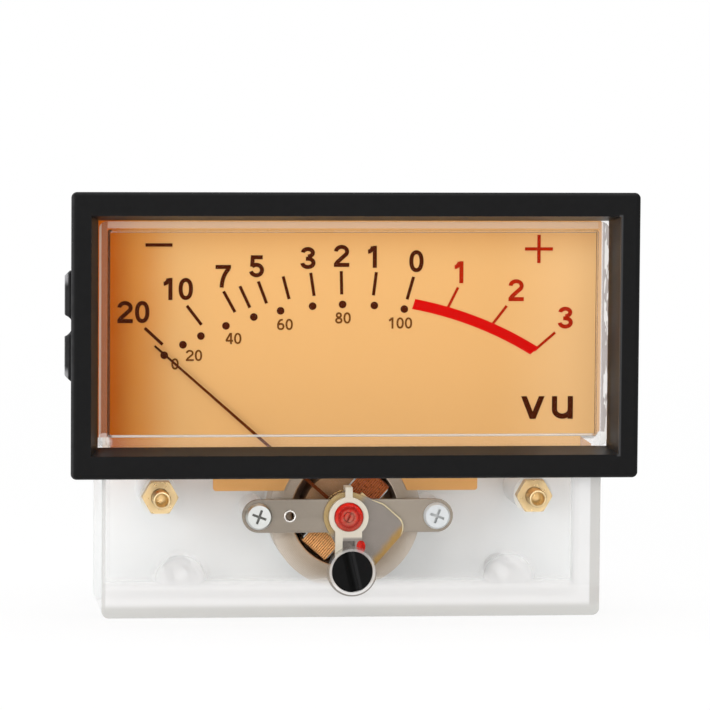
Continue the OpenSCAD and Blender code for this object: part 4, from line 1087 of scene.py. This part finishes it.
def plate_edge(inset=0.12):
    """Line along the upper right edge of the bridge plate and round its corner, in X and Z.

    In the plate's own frame it runs along the common tangent of the circle round the bush and of the
    shoulder's corner circle, round that corner, along the side and round the corner at the end.
    """
    aside = PLATE_HALF - PLATE_CORNER
    between = math.hypot(aside, PLATE_SHOULDER)
    tangent = math.atan2(PLATE_SHOULDER, -aside) + math.acos((PLATE_NEAR_R - PLATE_CORNER) / between)
    outward = np.array([math.cos(tangent), math.sin(tangent)])
    near = outward * (PLATE_NEAR_R - inset)
    shoulder = np.array([-aside, PLATE_SHOULDER]) + outward * (PLATE_CORNER - inset)
    radius = PLATE_CORNER - inset
    local = run(np.linspace(near + 0.6 * (shoulder - near), shoulder, 8)[:-1],
                arc(-aside, PLATE_SHOULDER, radius, radius, math.degrees(tangent), 180, 6),
                arc(-aside, PLATE_REACH - PLATE_CORNER, radius, radius, 180, 95, 18))
    x = local[:, 0] * math.cos(PLATE_TURN) + local[:, 1] * math.sin(PLATE_TURN)
    z = PIVOT[2] - local[:, 0] * math.sin(PLATE_TURN) + local[:, 1] * math.cos(PLATE_TURN)
    return np.stack([x, z], axis=-1)


def lacquer_swell(inner, outer, face, height):
    """Ring of lacquer round the jewel screw.

    Half an ellipse from the inner to the outer radius is carried round the pivot, and its height
    rises and falls with the sines of three and five times the angle.
    """
    turn = np.linspace(0, 2 * np.pi, 60, endpoint=False)[:, None]
    across = np.linspace(0, np.pi, 15)
    radius = (inner + outer) / 2 - (outer - inner) / 2 * np.cos(across)
    lumps = 1 + 0.2 * np.sin(3 * turn + 0.8) + 0.1 * np.sin(5 * turn)
    y = face + 0.03 - height * lumps * np.sin(across) ** 0.8
    return skin(np.stack([radius * np.cos(turn), y, PIVOT[2] + radius * np.sin(turn)], axis=-1), loop=True)


def paint_drop(x, y, z, size):
    """Drop of lacquer: an ellipsoid whose radius swells and shrinks with the sines of its two angles."""
    polar = np.linspace(0.12, np.pi - 0.12, 18)[:, None]
    turn = np.linspace(0, 2 * np.pi, 28, endpoint=False)
    swell = 1 + 0.10 * np.sin(3 * turn + 0.6) * np.sin(polar) + 0.07 * np.sin(2 * polar + 1.2)
    points = [x + size[0] * swell * np.sin(polar) * np.cos(turn),
              y + size[1] * swell * np.sin(polar) * np.sin(turn),
              z + size[2] * swell * np.cos(polar) * np.ones_like(turn)]
    return skin(np.stack(points, axis=-1))


def window_fillet(size):
    """Inside fillet of the window: a three-cornered profile with a hollow side, carried round its edge."""
    corner, gap = 0.3, 0.01
    half_w, half_h = WINDOW_HALF[0] - COVER_WALL - gap, WINDOW_HALF[1] - COVER_WALL - gap
    edge, normal = rounded_path(half_w, half_h, corner)
    hollow = np.radians(np.linspace(0, 90, 5))
    inward = np.concatenate([[0.0], size * (1 - np.sin(hollow))])
    behind = np.concatenate([[0.0], size * (1 - np.cos(hollow))])
    x = edge[:, None, 0] - normal[:, None, 0] * inward
    z = BEZEL_MID_Z + edge[:, None, 1] - normal[:, None, 1] * inward
    y = WINDOW_FRONT + COVER_WALL + gap + np.broadcast_to(behind, x.shape)
    return skin(np.stack([x, y, z], axis=-1), loop=True)


class METER_OT_dress_case(bpy.types.Operator):
    """Finishes the bezel and the base"""

    bl_idname = "vu_meter.dress_case"
    bl_label = "Dress Bezel and Base"
    bl_options = {"REGISTER", "UNDO"}

    def execute(self, context):
        colors = context.scene.vu_meter.colors
        dress(bezel_finish(colors), "bezel")
        dress(base_finish(colors), "base")
        return {"FINISHED"}


class METER_OT_dress_cover(bpy.types.Operator):
    """Finishes the clear cover and adds the inside fillet of its window"""

    bl_idname = "vu_meter.dress_cover"
    bl_label = "Dress Clear Cover"
    bl_options = {"REGISTER", "UNDO"}

    def execute(self, context):
        dress(clear_finish("Clear moulding", cover_veil), "clear_cover")
        fillet = window_fillet(context.scene.vu_meter.sizes.fillet / MM)
        piece("window_fillet", [fillet], "case", clear_finish("Clear fillet", fillet_veil))
        return {"FINISHED"}


class METER_OT_dress_dial(bpy.types.Operator):
    """Finishes the dial, its printed scale and the stops of the needle"""

    bl_idname = "vu_meter.dress_dial"
    bl_label = "Dress Dial"
    bl_options = {"REGISTER", "UNDO"}

    def execute(self, context):
        colors = context.scene.vu_meter.colors
        dress(dial_finish(colors), "dial")
        dress(ink_finish("Scale ink", colors.ink), "scale_print_black")
        dress(red_scale_finish(colors), "scale_print_red")
        dress(grained("Blackened stops", colors.needle_tip, 0.1, (0.35, 0.5), metal=0.6), "pointer_stops")
        return {"FINISHED"}


class METER_OT_print_figures(bpy.types.Operator):
    """Prints the figures, the signs and the unit on the dial"""

    bl_idname = "vu_meter.print_figures"
    bl_label = "Print Figures"
    bl_options = {"REGISTER", "UNDO"}

    def execute(self, context):
        colors, sizes = context.scene.vu_meter.colors, context.scene.vu_meter.sizes
        large, small, relief = sizes.large_figure / MM, sizes.small_figure / MM, sizes.relief / MM
        sign = sizes.sign / MM
        black, red = [], []
        for text, x, z in LARGE_BLACK:
            black += label(text, x, z, large, LARGE_WEIGHT, relief)
        for text, x, z in SMALL_BLACK:
            black += label(text, x, z, small, SMALL_WEIGHT, relief)
        for text, x, z in LARGE_RED:
            red += label(text, x, z, large, LARGE_WEIGHT, relief)
        x, z = MINUS_SIGN
        black.append(ribbon(line((x - sign / 2, z), (x + sign / 2, z)), SIGN_WEIGHT, relief))
        x, z = PLUS_SIGN
        arm = 0.525 * sign
        red.append(ribbon(line((x - arm, z), (x + arm, z)), SIGN_WEIGHT, relief))
        red.append(ribbon(line((x, z - arm), (x, z + arm)), SIGN_WEIGHT, relief, order=1))
        black += unit_letters(*UNIT_MARK, sizes.unit_letter / MM, relief)
        piece("figures_black", black, "case", figure_finish(colors), False)
        red_ink = ink_finish("Red figure ink", colors.red_figure)
        piece("figures_red", red, "case", red_ink, False)
        return {"FINISHED"}


class METER_OT_dress_pointer(bpy.types.Operator):
    """Finishes the needle, its balance weights and its pivots"""

    bl_idname = "vu_meter.dress_pointer"
    bl_label = "Dress Pointer"
    bl_options = {"REGISTER", "UNDO"}

    def execute(self, context):
        colors = context.scene.vu_meter.colors
        dress(needle_finish(colors), "pointer")
        dress(grained("Weight brass", colors.brass, 0.1, (0.28, 0.42), metal=1.0), "balance_weights")
        pivots = turned("Pivot steel", colors.steel, 0.0, PIVOT[2], 0.09, (0.22, 0.34))
        dress(pivots, "front_pivot", "rear_pivot")
        return {"FINISHED"}


class METER_OT_wind_coil(bpy.types.Operator):
    """Winds the coil from turns of enamelled wire and finishes its former"""

    bl_idname = "vu_meter.wind_coil"
    bl_label = "Wind Coil"
    bl_options = {"REGISTER", "UNDO"}

    def execute(self, context):
        colors, sizes = context.scene.vu_meter.colors, context.scene.vu_meter.sizes
        front, back = low("coil_winding")[1], high("coil_winding")[1]
        turns = int(COIL_WIDTH / (sizes.wire / MM))
        places = (np.arange(turns) - (turns - 1) / 2) * COIL_WIDTH / turns
        loops = [wire_loop(place, front, back, 0.5 * COIL_WIDTH / turns) for place in places]
        winding = piece("winding_turns", loops, "pointer", wire_finish(colors))
        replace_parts(winding, "coil_winding")
        former = grained("Former sheet", colors.aluminium, 0.08, (0.3, 0.45), metal=0.9, stretch=(1, 6, 1))
        dress(former, "coil_former")
        return {"FINISHED"}


class METER_OT_dress_movement(bpy.types.Operator):
    """Finishes the yoke, the core, its spacers and the hairsprings"""

    bl_idname = "vu_meter.dress_movement"
    bl_label = "Dress Movement"
    bl_options = {"REGISTER", "UNDO"}

    def execute(self, context):
        colors = context.scene.vu_meter.colors
        dress(yoke_finish(colors), "yoke_ring")
        dress(grained("Sintered magnet", colors.magnet, 0.1, (0.5, 0.7), 0.25, 0.01, 0.15), "core_magnet")
        dress(grained("Spacer brass", colors.brass, 0.1, (0.3, 0.45), metal=1.0), "core_spacers")
        springs = grained("Spring bronze", colors.bronze, 0.05, (0.2, 0.32), metal=1.0)
        dress(springs, "front_hairspring", "rear_hairspring")
        return {"FINISHED"}


class METER_OT_dress_bridge(bpy.types.Operator):
    """Finishes the bridge strap, its plate with the bead, the bush and the jewel screws"""

    bl_idname = "vu_meter.dress_bridge"
    bl_label = "Dress Bridge"
    bl_options = {"REGISTER", "UNDO"}

    def execute(self, context):
        colors, sizes = context.scene.vu_meter.colors, context.scene.vu_meter.sizes
        dress(strap_finish(colors), "bridge_strap")
        dress(plate_finish(colors), "bridge_plate")
        rim = bead(plate_edge(), low("bridge_plate")[1], sizes.bead / MM)
        pale_brass = grained("Pale brass bead", colors.rim, 0.08, (0.3, 0.42), 0.1, 0.003, 0.4)
        piece("plate_bead", [rim], "case", pale_brass)
        rolled = eyelet(STRAP_HOLE_X, PIVOT[2], low("bridge_strap")[1], EYELET_R, EYELET_WIRE)
        bright = grained("Eyelet steel", colors.eyelet, 0.08, (0.18, 0.3), metal=1.0)
        piece("strap_eyelet", [rolled], "case", bright)
        dress(lacquer_finish("Lacquered bush", colors), "front_bush", "front_jewel_screw")
        inner, outer = JEWEL_R + 0.06, high("front_bush")[0] - 0.02
        swell = lacquer_swell(inner, outer, low("front_bush")[1], SWELL_HEIGHT)
        piece("lacquer_swell", [swell], "case", lacquer_finish("Lacquer ring", colors))
        dress(turned("Jewel screw brass", colors.brass, 0.0, PIVOT[2], 0.1, (0.24, 0.36)), "rear_jewel_screw")
        return {"FINISHED"}


class METER_OT_dress_zero_setting(bpy.types.Operator):
    """Finishes the zero lever, the adjuster and its clip, and adds a drop of locking lacquer"""

    bl_idname = "vu_meter.dress_zero_setting"
    bl_label = "Dress Zero Setting"
    bl_options = {"REGISTER", "UNDO"}

    def execute(self, context):
        colors = context.scene.vu_meter.colors
        dress(lever_finish(colors), "zero_lever")
        dress(adjuster_finish(colors), "zero_adjuster")
        dress(screw_finish("Clip steel", colors), "adjuster_clip")
        drop = paint_drop(DROP_X, low("zero_lever")[1] + 0.05, PIVOT[2] + DROP_Z, DROP_SIZE)
        piece("lacquer_drop", [drop], "zero_lever", lacquer_finish("Lacquer drop", colors))
        return {"FINISHED"}


class METER_OT_dress_terminals(bpy.types.Operator):
    """Cuts the threads of the terminal studs and finishes the nuts and the solder lugs"""

    bl_idname = "vu_meter.dress_terminals"
    bl_label = "Dress Terminals"
    bl_options = {"REGISTER", "UNDO"}

    def execute(self, context):
        colors, sizes = context.scene.vu_meter.colors, context.scene.vu_meter.sizes
        brass = turned("Turned brass", colors.brass, STUD_X, STUD_Z, 0.16, (0.26, 0.4))
        studs = [threaded_stud(side * STUD_X, STUD_Z, sizes) for side in (-1, 1)]
        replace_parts(piece("threaded_studs", studs, "case", brass), "terminal_studs")
        dress(brass, "terminal_nuts", "rear_nuts")
        dress(grained("Tinned lug", colors.steel, 0.12, (0.25, 0.42), 0.12, 0.008, 1.0), "solder_lugs")
        return {"FINISHED"}


class METER_OT_dress_screws(bpy.types.Operator):
    """Finishes the screws of the strap, the dial, the yoke and the cover"""

    bl_idname = "vu_meter.dress_screws"
    bl_label = "Dress Screws"
    bl_options = {"REGISTER", "UNDO"}

    def execute(self, context):
        colors = context.scene.vu_meter.colors
        dress(strap_screw_finish(colors), "strap_screws")
        dress(screw_finish("Zinc plate", colors), "dial_screws", "yoke_screws")
        dress(grained("Pale zinc", colors.pale_zinc, 0.3, (0.4, 0.55), 0.05, 0.002), "cover_screws")
        return {"FINISHED"}


def white_ground(name, glow):
    """Pale ground that keeps shadows near the meter, and plain white for camera, mirror and glass rays.

    The share of plain white grows with the distance from the meter up to the whole.
    """
    finish = Finish(name)
    finish.set(Base_Color=(0.9, 0.9, 0.9, 1.0), Roughness=0.8, Specular_IOR_Level=0.0)
    path = finish.nodes.new("ShaderNodeLightPath")
    seen = path.outputs["Is Camera Ray"]
    for kind in ("Is Glossy Ray", "Is Transmission Ray"):
        seen = finish.math("MAXIMUM", seen, path.outputs[kind])
    x, y, _ = finish.axes()
    share = finish.span(finish.reach(x, y), 120.0, 450.0, (glow, 1.0))
    white = finish.nodes.new("ShaderNodeEmission")
    finish.show(finish.mix_shaders(finish.product(seen, share), finish.shader, white))
    return finish


def lamp(name, place, aim, size, power, tint):
    """Square softbox at a place, turned to a point."""
    data = bpy.data.lights.new(name, "AREA")
    data.shape = "SQUARE"
    data.size = size
    data.energy = power
    data.color = tint
    made = bpy.data.objects.new(name, data)
    back = np.array(place) - np.array(aim)
    back /= np.linalg.norm(back)
    side = np.cross((0.0, 0.0, 1.0), back)
    side /= np.linalg.norm(side)
    turn = np.eye(4)
    turn[:3, :3] = np.stack([side, np.cross(back, side), back], axis=1)
    turn[:3, 3] = place
    made.matrix_world = Matrix(turn.tolist())
    bpy.context.scene.collection.objects.link(made)


def lay_floor(stage):
    """Level square under the meter, as a grid of four by four."""
    half = 9.0
    steps = np.linspace(-half, half, 5)
    x, y = np.meshgrid(steps, steps)
    points = np.stack([x, y, np.zeros_like(x)], axis=-1).reshape(-1, 3)
    index = np.arange(25).reshape(5, 5)
    faces = np.stack([index[:-1, :-1], index[:-1, 1:], index[1:, 1:], index[1:, :-1]], axis=-1)
    mesh = bpy.data.meshes.new("floor")
    mesh.from_pydata(points.tolist(), [], faces.reshape(-1, 4).tolist())
    mesh.materials.append(white_ground("White floor", stage.floor_glow).material)
    made = bpy.data.objects.new("floor", mesh)
    bpy.context.scene.collection.objects.link(made)


def light_studio(stage):
    """Even white world with softboxes at the left, in front and above."""
    world = bpy.data.worlds.new("Studio")
    world.use_nodes = True
    nodes, links = world.node_tree.nodes, world.node_tree.links
    ground = nodes["Background"]
    path = nodes.new("ShaderNodeLightPath")
    power = nodes.new("ShaderNodeMapRange")
    power.inputs["To Min"].default_value = stage.world
    power.inputs["To Max"].default_value = 1.0
    links.new(path.outputs["Is Camera Ray"], power.inputs["Value"])
    links.new(power.outputs[0], ground.inputs["Strength"])
    ground.inputs["Color"].default_value = (1.0, 1.0, 1.0, 1.0)
    bpy.context.scene.world = world
    aim = (0.0, 0.0, BEZEL_MID_Z * MM)
    lamp("key_softbox", (-0.62, -0.78, 0.26), aim, 0.55, stage.key, (1.0, 0.985, 0.97))
    lamp("front_softbox", (0.12, -1.2, 0.10), aim, 0.8, stage.front, (1.0, 1.0, 1.0))
    lamp("top_softbox", (0.0, -0.05, 1.2), (0.0, 0.0, 0.0), 1.0, stage.top, (1.0, 1.0, 1.0))


def place_camera(stage):
    """Camera from its place, yaw, pitch and roll; it looks along Y, turned by the yaw and the pitch."""
    sin_y, cos_y = math.sin(stage.yaw), math.cos(stage.yaw)
    sin_p, cos_p = math.sin(stage.pitch), math.cos(stage.pitch)
    ahead = np.array([sin_y * cos_p, cos_y * cos_p, -sin_p])
    level = np.array([cos_y, -sin_y, 0.0])
    rise = np.cross(level, ahead)
    right = math.cos(stage.roll) * level + math.sin(stage.roll) * rise
    up = -math.sin(stage.roll) * level + math.cos(stage.roll) * rise
    turn = np.eye(4)
    turn[:3, :3] = np.stack([right, up, -ahead], axis=1)
    turn[:3, 3] = (-stage.aside, BEZEL_LOW[1] * MM - stage.distance * cos_y * cos_p,
                   BEZEL_MID_Z * MM + stage.above)
    data = bpy.data.cameras.new("camera")
    data.sensor_width = 36.0
    data.lens = stage.lens
    data.clip_start, data.clip_end = 0.05, 50.0
    made = bpy.data.objects.new("camera", data)
    made.matrix_world = Matrix(turn.tolist())
    bpy.context.scene.collection.objects.link(made)
    bpy.context.scene.camera = made


class METER_OT_build_stage(bpy.types.Operator):
    """Builds the floor, the light and the camera"""

    bl_idname = "vu_meter.build_stage"
    bl_label = "Build Stage"
    bl_options = {"REGISTER", "UNDO"}

    def execute(self, context):
        stage = context.scene.vu_meter.stage
        lay_floor(stage)
        light_studio(stage)
        place_camera(stage)
        context.scene.view_settings.view_transform = "Standard"
        return {"FINISHED"}


OPERATORS = (
    METER_OT_dress_case, METER_OT_dress_cover, METER_OT_dress_dial, METER_OT_print_figures,
    METER_OT_dress_pointer, METER_OT_wind_coil, METER_OT_dress_movement, METER_OT_dress_bridge,
    METER_OT_dress_zero_setting, METER_OT_dress_terminals, METER_OT_dress_screws, METER_OT_build_stage,
)


class METER_PT_sidebar(bpy.types.Panel):
    """Lists the steps that dress the meter"""

    bl_idname = "METER_PT_sidebar"
    bl_label = "VU Meter"
    bl_space_type = "VIEW_3D"
    bl_region_type = "UI"
    bl_category = "VU Meter"

    def draw(self, context):
        for operator in OPERATORS:
            self.layout.operator(operator.bl_idname)


CLASSES = (MeterColors, MeterSizes, MeterStage, MeterSettings, *OPERATORS, METER_PT_sidebar)


def register():
    """Registers the classes and the scene's settings."""
    for entry in CLASSES:
        bpy.utils.register_class(entry)
    bpy.types.Scene.vu_meter = bpy.props.PointerProperty(
        type=MeterSettings, name="VU meter", description="Settings of the meter and its studio"
    )


def unregister():
    """Removes the scene's settings and the classes."""
    del bpy.types.Scene.vu_meter
    for entry in reversed(CLASSES):
        bpy.utils.unregister_class(entry)


def main():
    """Runs every step in order."""
    register()
    for operator in OPERATORS:
        group, name = operator.bl_idname.split(".")
        getattr(getattr(bpy.ops, group), name)()


if __name__ == "__main__":
    main()
